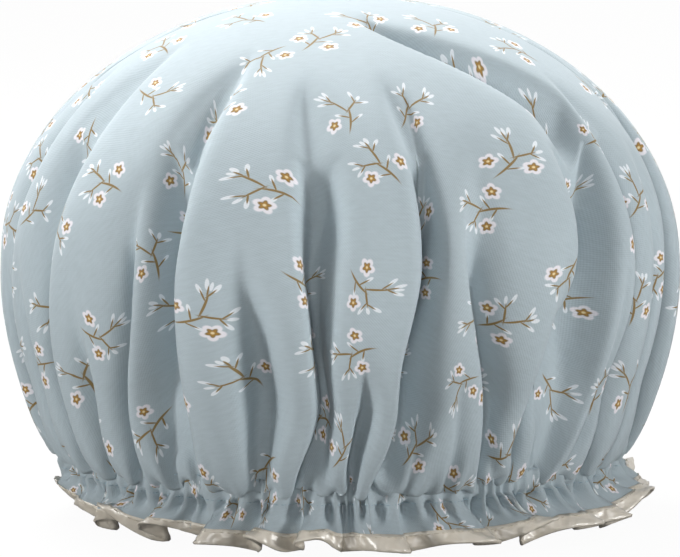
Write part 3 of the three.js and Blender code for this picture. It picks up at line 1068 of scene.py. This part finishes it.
@dataclass(frozen=True)
class PrintedCotton:
    """Plain-woven cotton with a scattered sprig print: matt, with fine threads and soft fuzz at grazing light.

    Lengths are millimetres. Twigs and leaves are slim ovals: centre, turn in degrees, half length and half width.
    """

    ground: str = "AEBBC1"
    stem: str = "877043"
    petal: str = "E8E5EA"
    leaf: str = "E1E6EA"
    centre: str = "A57C36"
    dot: str = "E6D6AC"
    sprig_pitch: float = 27.0
    sprig_size: float = 0.82
    jitter: float = 0.5
    bend: float = 0.028
    single_share: float = 0.35
    out_of_sight: float = 50.0
    unevenness: float = 0.1
    slub_long: float = 4.0
    slub_wide: float = 10 / 11
    thread_pitch: float = 0.9
    thread_rise: float = 0.15

    TWIGS = (
        (-0.2, -4.4, 98, 4.4, 0.36), (1.8, 2.6, 62, 3.6, 0.32), (-2.3, 1.4, 140, 3.1, 0.3),
        (1.6, -2.6, 30, 1.9, 0.25), (-1.8, -4.8, 148, 1.7, 0.24), (4.6, 4.7, 22, 1.7, 0.23),
        (3.3, 6.7, 98, 1.7, 0.23), (-5.3, 2.4, 188, 1.5, 0.23), (-4.5, 4.5, 100, 1.6, 0.23),
        (4.5, 6.8, 58, 1.4, 0.22),
    )
    LEAVES = (
        (6.1, 8.2, 50, 1.5, 0.62), (6.9, 5.4, 14, 1.5, 0.58), (3.0, 9.2, 96, 1.5, 0.62),
        (4.6, 8.6, 66, 1.2, 0.5), (-4.9, 7.0, 104, 1.5, 0.6), (-7.5, 2.2, 184, 1.5, 0.58),
        (-6.4, 4.6, 138, 1.3, 0.55), (3.8, -1.4, 28, 1.3, 0.55), (-3.8, -3.7, 150, 1.2, 0.5),
    )
    TWIG_EDGE = (0.85, 1.6)
    LEAF_EDGE = (0.95, 1.3)
    BLOSSOMS = ((6.3, -4.8), (-6.6, -2.0))

    def build(self, uv_to_mm: float) -> bpy.types.Material:
        """Draws the material on the cloth's own flat cut.

        Args:
            uv_to_mm: millimetres of cloth in one unit of UV.

        Returns:
            The material.
        """
        material, tree, shader = new_material("printed_plain_weave_cotton")
        uv = add_node(tree, "UVMap", uv_map="cut")
        place = add_node(tree, "Mapping", {"Vector": uv, "Scale": (uv_to_mm, uv_to_mm, 1)})
        join(tree, shader, {
            "Base Color": self.sprigs(tree, place, self.mottle(tree, place)), "Roughness": 0.78, "IOR": 1.45,
            "Sheen Weight": 0.18, "Sheen Roughness": 0.4, "Normal": self.weave(tree, place)})
        return material

    def mottle(self, tree: bpy.types.NodeTree, place: Any) -> Any:
        """Ground colour with the slight unevenness of dyed yarn.

        Args:
            tree: the node tree.
            place: position on the cloth in millimetres.

        Returns:
            The colour's node.
        """
        # Slubs of single yarns, a few millimetres long; drawn about twice as wide as real ones so that they show.
        yarn = add_node(tree, "Mapping", {"Vector": place, "Scale": (1 / self.slub_long, 1 / self.slub_wide, 1)})
        slub = add_node(tree, "TexNoise", {"Vector": yarn, "Scale": 1.0, "Detail": 3.0})
        ground = Vector(linear(self.ground)[:3])
        darker_tone, lighter_tone = ((*(ground * share), 1) for share in (1 - self.unevenness, 1 + self.unevenness))
        return add_node(tree, "Mix", {0: slub, 6: darker_tone, 7: lighter_tone}, data_type="RGBA")

    def sprigs(self, tree: bpy.types.NodeTree, place: Any, ground: Any) -> Any:
        """Scatters turned and mirrored sprigs over the ground.

        Args:
            tree: the node tree.
            place: position on the cloth in millimetres.
            ground: the colour under the print.

        Returns:
            The printed colour's node.
        """
        cells = add_node(tree, "TexVoronoi", {"Vector": place, "Scale": 1 / self.sprig_pitch,
                         "Randomness": self.jitter}, voronoi_dimensions="2D")
        chance = add_node(tree, "SeparateColor", {0: cells.outputs["Color"]}).outputs
        away = add_node(tree, "VectorMath", {0: place, 1: cells.outputs["Position"]}, operation="SUBTRACT")
        angle = add_node(tree, "Math", {0: chance[0], 1: 2 * FULL_TURN}, operation="MULTIPLY")
        turned = add_node(tree, "VectorRotate", {"Vector": away, "Angle": angle}, rotation_type="Z_AXIS")
        x, y, _ = add_node(tree, "SeparateXYZ", {0: turned}).outputs
        square = add_node(tree, "Math", {0: y, 1: y}, operation="MULTIPLY")
        bent = add_node(tree, "Math", {0: square, 1: self.bend, 2: x}, operation="MULTIPLY_ADD")
        flip = add_node(tree, "Math", {0: chance[1], 1: 0.5}, operation="GREATER_THAN")
        sign = add_node(tree, "Math", {0: flip, 1: 2.0, 2: -1.0}, operation="MULTIPLY_ADD")
        across = add_node(tree, "Math", {0: bent, 1: sign}, operation="MULTIPLY")
        drawn = add_node(tree, "CombineXYZ", {0: across, 1: y})
        local = add_node(tree, "VectorMath", {0: drawn, 1: (1 / self.sprig_size, 1 / self.sprig_size, 1)},
                         operation="MULTIPLY")
        colour = self.paint(tree, ground, self.ovals(tree, local, self.LEAVES, self.LEAF_EDGE), self.leaf)
        colour = self.paint(tree, colour, self.ovals(tree, local, self.TWIGS, self.TWIG_EDGE), self.stem)
        return self.blossom(tree, local, chance[2], colour)

    def paint(self, tree: bpy.types.NodeTree, under: Any, mask: Any, colour: str) -> Any:
        """Lays one printed colour over another by a mask and returns the result's node."""
        return add_node(tree, "Mix", {0: mask, 6: under, 7: linear(colour)}, data_type="RGBA")

    def ovals(self, tree: bpy.types.NodeTree, local: Any, shapes: tuple, edge: tuple[float, float]) -> Any:
        """Joins slim ovals into one mask.

        Args:
            tree: the node tree.
            local: position in the sprig, in millimetres.
            shapes: each oval's centre, turn in degrees, half length and half width.
            edge: share of an oval that is full colour, and the share at which it ends.

        Returns:
            The mask's node.
        """
        nearest = None
        for x, y, turn, long, wide in shapes:
            oval = add_node(tree, "Mapping", {"Vector": local, "Location": (x, y, 0), "Scale": (long, wide, 1),
                            "Rotation": (0, 0, math.radians(turn))}, vector_type="TEXTURE")
            reach = add_node(tree, "VectorMath", {0: oval}, operation="LENGTH")
            nearest = reach if nearest is None else add_node(tree, "Math", {0: nearest, 1: reach}, operation="MINIMUM")
        return add_node(tree, "MapRange", {0: nearest, 1: edge[0], 2: edge[1], 3: 1.0, 4: 0.0},
                        interpolation_type="SMOOTHSTEP")

    def blossom(self, tree: bpy.types.NodeTree, local: Any, chance: Any, colour: Any) -> Any:
        """Adds one or two five-petalled blossoms with a star at the heart.

        Args:
            tree: the node tree.
            local: position in the sprig, in millimetres.
            chance: random number of the sprig.
            colour: the colour under the blossoms.

        Returns:
            The printed colour's node.
        """
        one, two = (add_node(tree, "VectorMath", {0: local, 1: (*middle, 0)}, operation="SUBTRACT")
                    for middle in self.BLOSSOMS)
        far_one, far_two = (add_node(tree, "VectorMath", {0: away}, operation="LENGTH") for away in (one, two))
        single = add_node(tree, "Math", {0: chance, 1: self.single_share}, operation="LESS_THAN")
        pushed = add_node(tree, "Math", {0: single, 1: self.out_of_sight, 2: far_two}, operation="MULTIPLY_ADD")
        second = add_node(tree, "Math", {0: pushed, 1: far_one}, operation="LESS_THAN")
        here = add_node(tree, "Mix", {0: second, 4: one, 5: two}, data_type="VECTOR")
        x, y, _ = add_node(tree, "SeparateXYZ", {0: here}).outputs
        reach = add_node(tree, "Math", {0: pushed, 1: far_one}, operation="MINIMUM")
        turn = add_node(tree, "Math", {0: y, 1: x}, operation="ARCTAN2")
        five, half = (add_node(tree, "Math", {0: turn, 1: lobes}, operation="MULTIPLY") for lobes in (5.0, 2.5))
        point, wave = (add_node(tree, "Math", {0: angle}, operation="COSINE") for angle in (five, half))
        scallop = add_node(tree, "Math", {0: wave}, operation="ABSOLUTE")
        for size, swing, soft, lobe, paint in (
            (2.25, 0.95, 0.35, scallop, self.petal), (1.55, 0.32, 0.3, point, self.stem),
            (1.05, 0.3, 0.3, point, self.centre), (0.45, 0.0, 0.25, point, self.dot),
        ):
            rim = add_node(tree, "Math", {0: lobe, 1: -swing, 2: reach}, operation="MULTIPLY_ADD")
            mask = add_node(tree, "MapRange", {0: rim, 1: size - soft, 2: size + soft, 3: 1.0, 4: 0.0},
                            interpolation_type="SMOOTHSTEP")
            colour = self.paint(tree, colour, mask, paint)
        return colour

    def weave(self, tree: bpy.types.NodeTree, place: Any) -> Any:
        """Over-and-under relief of the threads.

        Args:
            tree: the node tree.
            place: position on the cloth in millimetres.

        Returns:
            The relief's node.
        """
        # Real threads lie about 0.3 mm apart; they are drawn three times as coarse so that the picture holds them.
        waves = []
        for along in add_node(tree, "SeparateXYZ", {0: place}).outputs[:2]:
            phase = add_node(tree, "Math", {0: along, 1: FULL_TURN / self.thread_pitch}, operation="MULTIPLY")
            waves.append(add_node(tree, "Math", {0: phase}, operation="SINE"))
        cross = add_node(tree, "Math", dict(enumerate(waves)), operation="MULTIPLY")
        return add_node(tree, "Bump", {"Height": cross, "Strength": 0.25, "Distance": self.thread_rise * MM})


@dataclass(frozen=True)
class SatinTape:
    """Ivory polyester satin: long floats that give a pearly gloss, broken by small creases."""

    light: str = "EEE7DA"
    # This colour is painted shade in the creases' hollows; the light one above is painted highlight on their crests.
    painted_shade: str = "D0C5B2"
    crease: float = 4.5
    streak_long: float = 10 / 3
    streak_wide: float = 0.5

    def build(self) -> bpy.types.Material:
        """Makes the material.

        Returns:
            The material.
        """
        material, tree, shader = new_material("ivory_satin_tape")
        place = add_node(tree, "TexCoord").outputs["Object"]
        # Creases lie about 4.5 mm apart; threads of 0.2 mm are drawn as 0.5 mm streaks so that they show.
        crease = add_node(tree, "TexNoise", {"Vector": place, "Scale": 1 / (self.crease * MM), "Detail": 1.0,
                          "Distortion": 0.4})
        along, across = 1 / (self.streak_long * MM), 1 / (self.streak_wide * MM)
        streak = add_node(tree, "Mapping", {"Vector": place, "Scale": (along, along, across)})
        thread = add_node(tree, "TexNoise", {"Vector": streak, "Scale": 1.0, "Detail": 1.0})
        # Painted shade and painted highlight: the colour is darker in the creases' hollows and lighter on their
        # crests.
        colour = add_node(tree, "Mix", {0: crease, 6: linear(self.painted_shade), 7: linear(self.light)}, data_type="RGBA")
        fine = add_node(tree, "Bump", {"Height": thread, "Strength": 0.15, "Distance": 0.1 * MM})
        bump = add_node(tree, "Bump", {"Height": crease, "Strength": 0.7, "Distance": 1.5 * MM, "Normal": fine})
        join(tree, shader, {"Base Color": colour, "Roughness": 0.34, "IOR": 1.57, "Specular IOR Level": 1.0,
                            "Sheen Weight": 0.15, "Normal": bump})
        return material


@dataclass(frozen=True)
class LiningFilm:
    """Milky waterproof film: soft plastic with a faint gloss and shallow crumples."""

    # The first tone is painted shade in the crumples' hollows, the second the film on their crests.
    darker_tone: str = "DDE4E5"
    lighter_tone: str = "EEF1F0"
    crumple: float = 9.0

    def build(self) -> bpy.types.Material:
        """Makes the material.

        Returns:
            The material.
        """
        material, tree, shader = new_material("milky_waterproof_film")
        place = add_node(tree, "TexCoord").outputs["Object"]
        # Crumples lie about 9 mm apart.
        crumple = add_node(tree, "TexNoise", {"Vector": place, "Scale": 1 / (self.crumple * MM), "Detail": 3.0,
                           "Distortion": 1.2})
        # Painted shade: the film is darker in the crumples' hollows than on their crests.
        colour = add_node(tree, "Mix", {0: crumple, 6: linear(self.darker_tone), 7: linear(self.lighter_tone)}, data_type="RGBA")
        bump = add_node(tree, "Bump", {"Height": crumple, "Strength": 0.4, "Distance": 0.8 * MM})
        join(tree, shader, {"Base Color": colour, "Roughness": 0.38, "IOR": 1.5, "Normal": bump})
        return material


@dataclass(frozen=True)
class KnittedElastic:
    """White knitted elastic: matt ribs along its length over rubber cords."""

    rib: str = "F2F0EA"
    # This colour is painted shade in the gaps between the ribs.
    gap: str = "D8D4CA"
    rib_pitch: float = 0.8

    def build(self) -> bpy.types.Material:
        """Makes the material.

        Returns:
            The material.
        """
        material, tree, shader = new_material("knitted_elastic")
        place = add_node(tree, "TexCoord").outputs["Object"]
        # Ribs run round the loop, 0.8 mm apart, so they are bands of height.
        height = add_node(tree, "SeparateXYZ", {0: place}).outputs["Z"]
        phase = add_node(tree, "Math", {0: height, 1: FULL_TURN / (self.rib_pitch * MM)}, operation="MULTIPLY")
        rib = add_node(tree, "Math", {0: phase}, operation="SINE")
        share = add_node(tree, "MapRange", {0: rib, 1: -1.0, 2: 1.0})
        # Painted shade: the colour is darker in the gaps between the ribs, where the relief dips.
        colour = add_node(tree, "Mix", {0: share, 6: linear(self.gap), 7: linear(self.rib)}, data_type="RGBA")
        bump = add_node(tree, "Bump", {"Height": share, "Strength": 0.6, "Distance": 0.2 * MM})
        join(tree, shader, {"Base Color": colour, "Roughness": 0.85, "Normal": bump})
        return material


@dataclass(frozen=True)
class SpunThread:
    """Spun polyester sewing thread: matt, with a slanting twist."""

    name: str
    light: str
    # This colour is painted shade in the grooves of the twist.
    painted_shade: str
    twist: float = 0.5
    bands: int = 6

    def build(self) -> bpy.types.Material:
        """Makes the material.

        Returns:
            The material.
        """
        material, tree, shader = new_material(self.name)
        place = add_node(tree, "TexCoord").outputs["Object"]
        # The twist is about 0.5 mm long.
        twist = add_node(tree, "TexWave", {"Vector": place, "Scale": 1 / (self.twist * MM) / self.bands,
                         "Distortion": 2.0}, bands_direction="DIAGONAL").outputs["Fac"]
        # Painted shade: the twist's bands darken the thread along its grooves.
        colour = add_node(tree, "Mix", {0: twist, 6: linear(self.painted_shade), 7: linear(self.light)}, data_type="RGBA")
        join(tree, shader, {"Base Color": colour, "Roughness": 0.7, "Sheen Weight": 0.2})
        return material


@dataclass
class GatheredDiscs:
    """The printed outer disc and the film disc inside it."""

    form: CapForm
    cotton: PrintedCotton
    film: LiningFilm

    def build(self) -> tuple[bpy.types.Object, bpy.types.Object]:
        """Makes and places both discs.

        Returns:
            The outer fabric and the lining.
        """
        outer = to_object(self.form.disc(self.form.outside), "printed_cap_fabric",
                          self.cotton.build(self.form.cut_side()))
        inner = self.form.disc(self.form.inside())
        bmesh.ops.reverse_faces(inner, faces=inner.faces)
        lining = to_object(inner, "film_lining", self.film.build())
        settle_piece(outer, Slot.PRINTED_FABRIC, "outer_fabric")
        settle_piece(lining, Slot.LINING_FILM, "waterproof_lining")
        return outer, lining


@dataclass
class BoundEdge:
    """The satin tape folded over the ruffle's edge, with fine puckers on both sides."""

    form: CapForm
    satin: SatinTape
    outer_gap: float = 0.2
    inner_gap: float = 0.5
    below: float = 0.3
    thickness: float = 0.16
    pucker: float = 0.3
    outer_waves: tuple[tuple[float, float], ...] = ((151, 0.9), (37, 1.7))
    inner_waves: tuple[tuple[float, float], ...] = ((139, 1.1), (31, 0.7))

    def build(self) -> bpy.types.Object:
        """Folds the tape round the edge.

        Returns:
            The tape.
        """
        form = self.form
        rows = range(form.bound_row, len(form.rings))
        loops = [self.ring(row, 1, self.outer_gap, self.outer_waves) for row in rows]
        edge = form.outside[-1] - form.normals[-1] * (form.ruffle_gap / 2)
        loops.append(edge - np.array([0, 0, self.below]))
        loops.extend(self.ring(row, -1, self.inner_gap, self.inner_waves) for row in reversed(rows))
        bm = bmesh.new()
        bmesh.ops.create_circle(bm, segments=form.fine_columns, radius=1.0)
        ring = sorted(bm.verts, key=lambda v: math.atan2(v.co.x, -v.co.y))
        rim = list(bm.edges)
        for k, loop in enumerate(loops):
            if k:
                grown = bmesh.ops.extrude_edge_only(bm, edges=rim)["geom"]
                rim = [g for g in grown if isinstance(g, bmesh.types.BMEdge) and g.is_boundary]
                ring = sorted((g for g in grown if isinstance(g, bmesh.types.BMVert)),
                              key=lambda v: order[tuple(np.round(v.co, 7))])
            for vert, point in zip(ring, loop):
                vert.co = Vector(point) * MM
            order = {tuple(np.round(v.co, 7)): n for n, v in enumerate(ring)}
        bmesh.ops.recalc_face_normals(bm, faces=bm.faces)
        tape = to_object(bm, "satin_binding_tape", self.satin.build())
        wall = tape.modifiers.new("tape", "SOLIDIFY")
        wall.thickness = self.thickness * MM
        wall.offset = 0.0
        settle_piece(tape, Slot.SATIN_BINDING, "edge_binding")
        return tape

    def ring(self, row: int, way: int, gap: float, waves: tuple[tuple[float, float], ...]) -> np.ndarray:
        """Lays one ring of the tape beside the cloth.

        Args:
            row: the cloth's ring.
            way: 1 for the outer side, -1 for the inner.
            gap: distance from the cloth.
            waves: count round the cap and shift from ring to ring of the two sines that make the puckers.

        Returns:
            The ring's points in millimetres.
        """
        turn = np.arange(self.form.fine_columns) / self.form.fine_columns * FULL_TURN
        pucker = self.pucker * np.prod([np.sin(turn * count + row * shift) for count, shift in waves], axis=0)
        return self.form.outside[row] + way * self.form.normals[row] * (gap + pucker)[:, None]


@dataclass
class Seam:
    """One row of lock stitches as short separate stitches along a ring of the cloth."""

    form: CapForm
    row: int
    side: Side
    lift: float
    thread: bpy.types.Material
    slot: Slot
    stitch: float = 2.6
    gap: float = 0.5
    radius: float = 0.2

    def build(self, name: str, node: str) -> bpy.types.Object:
        """Sews the row.

        Args:
            name: the piece's name.
            node: the CAD thread that it stands for.

        Returns:
            The stitches as one piece.
        """
        form = self.form
        path = (form.outside[self.row] + form.normals[self.row] * self.side.value * self.lift) * MM
        closed = np.concatenate([path, path[:1]])
        run = run_along(closed)
        count = round(run[-1] / (self.stitch * MM))
        ends = np.linspace(0, run[-1], count + 1)
        knots = [Vector(point) for point in np.stack([np.interp(ends, run, line) for line in closed.T], 1)]
        bm = bmesh.new()
        for start, stop in zip(knots, knots[1:]):
            sew(bm, start, stop, self.radius * MM, 1 - self.gap / self.stitch)
        piece = to_object(bm, name, self.thread)
        settle_piece(piece, self.slot, node)
        return piece


def sew(bm: bmesh.types.BMesh, start: Vector, stop: Vector, radius: float, share: float) -> None:
    """Adds one stitch as a slim rounded body.

    Args:
        bm: the bmesh that takes it.
        start: where the stitch begins.
        stop: where it ends.
        radius: the thread's radius.
        share: length of the stitch as a share of the way.
    """
    along = stop - start
    turn = Vector((0, 0, 1)).rotation_difference(along).to_matrix().to_4x4()
    size = Matrix.Diagonal((radius, radius, along.length * share / 2, 1))
    bmesh.ops.create_uvsphere(bm, u_segments=6, v_segments=5, radius=1.0,
                              matrix=Matrix.Translation((start + stop) / 2) @ turn @ size)


@dataclass
class ElasticLoop:
    """The flat elastic in the channel, with its lapped and sewn ends."""

    knit: KnittedElastic
    thread: bpy.types.Material
    radius: float = 88.65
    height: float = 20.4
    width: float = 4.0
    thickness: float = 0.66
    lap: float = 12.0
    lap_gap: float = 0.06
    corner: float = 0.4
    sides: int = 24
    steps: int = 144
    stitches: int = 16
    stitch_radius: float = 0.16
    stitch_gap: float = 0.2
    stitch_share: float = 0.98
    sewn_along: float = 0.8
    sewn_across: float = 0.35

    def build(self) -> list[bpy.types.Object]:
        """Makes the loop and the zigzag that closes it.

        Returns:
            Both pieces.
        """
        low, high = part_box("elastic_splice_thread")
        lap_turn = math.atan2((low[1] + high[1]) / 2, (low[0] + high[0]) / 2)
        bm = bmesh.new()
        self.strip(bm, self.radius, 0.0, FULL_TURN)
        half = self.lap / self.radius / 2
        self.strip(bm, self.radius - self.thickness - self.lap_gap, lap_turn - half, 2 * half)
        loop = to_object(bm, "elastic_loop", self.knit.build())
        settle_piece(loop, Slot.ELASTIC, "elastic_band")
        zigzag = bmesh.new()
        reach = (self.radius - 1.5 * self.thickness - self.stitch_gap) * MM
        knots = []
        for k in range(self.stitches + 1):
            turn = lap_turn + half * self.sewn_along * (2 * k / self.stitches - 1)
            rise = self.height + (self.sewn_across if k % 2 else -self.sewn_across) * self.width
            knots.append(Vector((reach * math.cos(turn), reach * math.sin(turn), rise * MM)))
        for start, stop in zip(knots, knots[1:]):
            sew(zigzag, start, stop, self.stitch_radius * MM, self.stitch_share)
        splice = to_object(zigzag, "elastic_splice_stitches", self.thread)
        settle_piece(splice, Slot.IVORY_THREAD, "elastic_splice_thread")
        return [loop, splice]

    def strip(self, bm: bmesh.types.BMesh, radius: float, begin: float, turn: float) -> None:
        """Spins the elastic's rounded section about the cap's axis.

        Args:
            bm: the bmesh that takes it.
            radius: middle of the strip, in millimetres.
            begin: angle that it starts at.
            turn: angle that it covers.
        """
        whole = turn >= FULL_TURN
        section = bmesh.ops.create_circle(bm, segments=self.sides, radius=1.0, cap_ends=not whole)["verts"]
        for vert in section:
            square = [math.copysign(abs(way) ** self.corner, way) for way in vert.co.xy]
            out, up = square[0] * self.thickness / 2, square[1] * self.width / 2
            reach = (radius + out) * MM
            vert.co = (reach * math.cos(begin), reach * math.sin(begin), (self.height + up) * MM)
        edges = list({e for v in section for e in v.link_edges})
        faces = list({f for v in section for f in v.link_faces})
        steps = self.steps if whole else max(4, round(self.steps * turn / FULL_TURN))
        bmesh.ops.spin(bm, geom=[*section, *edges, *faces], cent=(0, 0, 0), axis=(0, 0, 1), angle=turn, steps=steps,
                       use_merge=whole)
        bmesh.ops.recalc_face_normals(bm, faces=bm.faces)


@dataclass(frozen=True)
class Lamp:
    """One square soft box, in metres and watts. A narrow beam, in degrees, is that of a box with a grid."""

    name: str
    place: tuple[float, float, float]
    towards: tuple[float, float, float]
    size: float
    power: float
    beam: float = 180.0


@dataclass
class Studio:
    """Plain pale floor, soft light from both sides and from above, and the camera of the photograph, in metres.

    The gridded lamps face a point over the cap, so their beams end near the floor and leave the ruffle darker.
    """

    distance: float = 2.0
    elevation: float = 8.0
    aim: tuple[float, float, float] = (0.0, 0.0, 0.0758)
    frame_width: float = 0.2205
    sensor: float = 36.0
    sky: float = 0.1
    floor_size: float = 6.0
    floor_colour: str = "747472"
    floor_glow: float = 1.2
    floor_share: float = 0.8
    lamps: tuple[Lamp, ...] = (
        Lamp("left_light", (-1.15, -0.5, 0.42), (0.0, 0.0, 0.35), 0.7, 1.22, 20.0),
        Lamp("right_light", (1.15, -0.45, 0.42), (0.0, 0.0, 0.35), 0.7, 1.36, 20.0),
        Lamp("front_light", (-0.1, -1.4, 0.45), (0.0, 0.0, 0.35), 0.7, 0.46, 20.0),
        Lamp("top_light", (-0.25, 0.55, 1.1), (0.0, 0.0, 0.0758), 0.6, 22.0),
    )

    def build(self) -> None:
        """Sets the stage."""
        self.floor()
        for lamp in self.lamps:
            self.light(lamp)
        self.world()
        self.camera()

    def floor(self) -> None:
        """Lays a floor that is white to the camera and still takes the cap's shadow."""
        bm = bmesh.new()
        bmesh.ops.create_grid(bm, x_segments=1, y_segments=1, size=self.floor_size)
        material, tree, shader = new_material("white_paper_floor")
        grain = add_node(tree, "TexNoise", {"Scale": 400.0})
        bump = add_node(tree, "Bump", {"Height": grain, "Strength": 0.05, "Distance": 0.1 * MM})
        join(tree, shader, {"Base Color": linear(self.floor_colour), "Roughness": 0.9, "Normal": bump})
        seen = add_node(tree, "LightPath").outputs["Is Camera Ray"]
        share = add_node(tree, "Math", {0: seen, 1: self.floor_share}, operation="MULTIPLY")
        glow = add_node(tree, "Emission", {"Color": linear("FFFFFF"), "Strength": self.floor_glow})
        mixed = add_node(tree, "MixShader", {0: share, 1: shader, 2: glow})
        join(tree, tree.nodes["Material Output"], {"Surface": mixed})
        to_object(bm, "floor", material)

    def light(self, lamp: Lamp) -> None:
        """Hangs one lamp.

        Args:
            lamp: the lamp.
        """
        light = bpy.data.lights.new(lamp.name, "AREA")
        light.size = lamp.size
        light.energy = lamp.power
        light.spread = math.radians(lamp.beam)
        self.hang(lamp.name, light, Vector(lamp.place), Vector(lamp.towards))

    def hang(self, name: str, what: bpy.types.ID, place: Vector, towards: Vector) -> bpy.types.Object:
        """Places a lamp or a camera.

        Args:
            name: its name.
            what: the lamp or camera.
            place: where it stands.
            towards: the point that it faces.

        Returns:
            The new object.
        """
        holder = bpy.data.objects.new(name, what)
        holder.location = place
        holder.rotation_euler = (towards - place).to_track_quat("-Z", "Y").to_euler()
        bpy.context.scene.collection.objects.link(holder)
        return holder

    def world(self) -> None:
        """Fills the surroundings with white: full to the camera, softer as light."""
        world = bpy.data.worlds.new("white_surround")
        world.use_nodes = True
        tree = world.node_tree
        path = add_node(tree, "LightPath").outputs
        seen = path["Is Camera Ray"]
        for other in ("Is Glossy Ray", "Is Transmission Ray"):
            seen = add_node(tree, "Math", {0: seen, 1: path[other]}, operation="MAXIMUM")
        power = add_node(tree, "MapRange", {0: seen, 3: self.sky, 4: 1.0})
        join(tree, tree.nodes["Background"], {"Color": (1, 1, 1, 1), "Strength": power})
        bpy.context.scene.world = world

    def camera(self) -> None:
        """Stands the camera at the photograph's angle."""
        lens = bpy.data.cameras.new("camera")
        lens.sensor_width = self.sensor
        lens.lens = self.sensor * self.distance / self.frame_width
        rise, aim = math.radians(self.elevation), Vector(self.aim)
        place = aim + self.distance * Vector((0, -math.cos(rise), math.sin(rise)))
        bpy.context.scene.camera = self.hang("camera", lens, place, aim)
        bpy.context.scene.view_settings.view_transform = "Standard"


def main() -> None:
    """Builds the cap piece by piece and sets the stage."""
    logging.basicConfig(level=logging.INFO, format="%(name)s: %(message)s")
    form = CapForm()
    blue = SpunThread("blue_spun_thread", "A9BCC6", "8FA4AF").build()
    ivory = SpunThread("ivory_spun_thread", "E6DECF", "CFC5B2").build()
    discs = GatheredDiscs(form, PrintedCotton(), LiningFilm())
    outer, lining = discs.build()
    sewn = [BoundEdge(form, SatinTape()).build()]
    ElasticLoop(KnittedElastic(), ivory).build()
    for row, gap_out, gap_in, thread, slot, words in (
        (form.seam_row, 0.2, 0.95, blue, Slot.BLUE_THREAD, "upper_channel"),
        (form.lower_row, 0.2, 0.95, blue, Slot.BLUE_THREAD, "lower_channel"),
        (form.bound_row + 1, 0.42, 0.75, ivory, Slot.IVORY_THREAD, "binding"),
    ):
        for side, gap, kind in ((Side.OUTSIDE, gap_out, "needle"), (Side.INSIDE, gap_in, "bobbin")):
            seam = Seam(form, row, side, gap, thread, slot)
            sewn.append(seam.build(f"{words}_{kind}_stitches", f"{words}_{kind}_thread"))
    Studio().build()


if __name__ == "__main__":
    main()
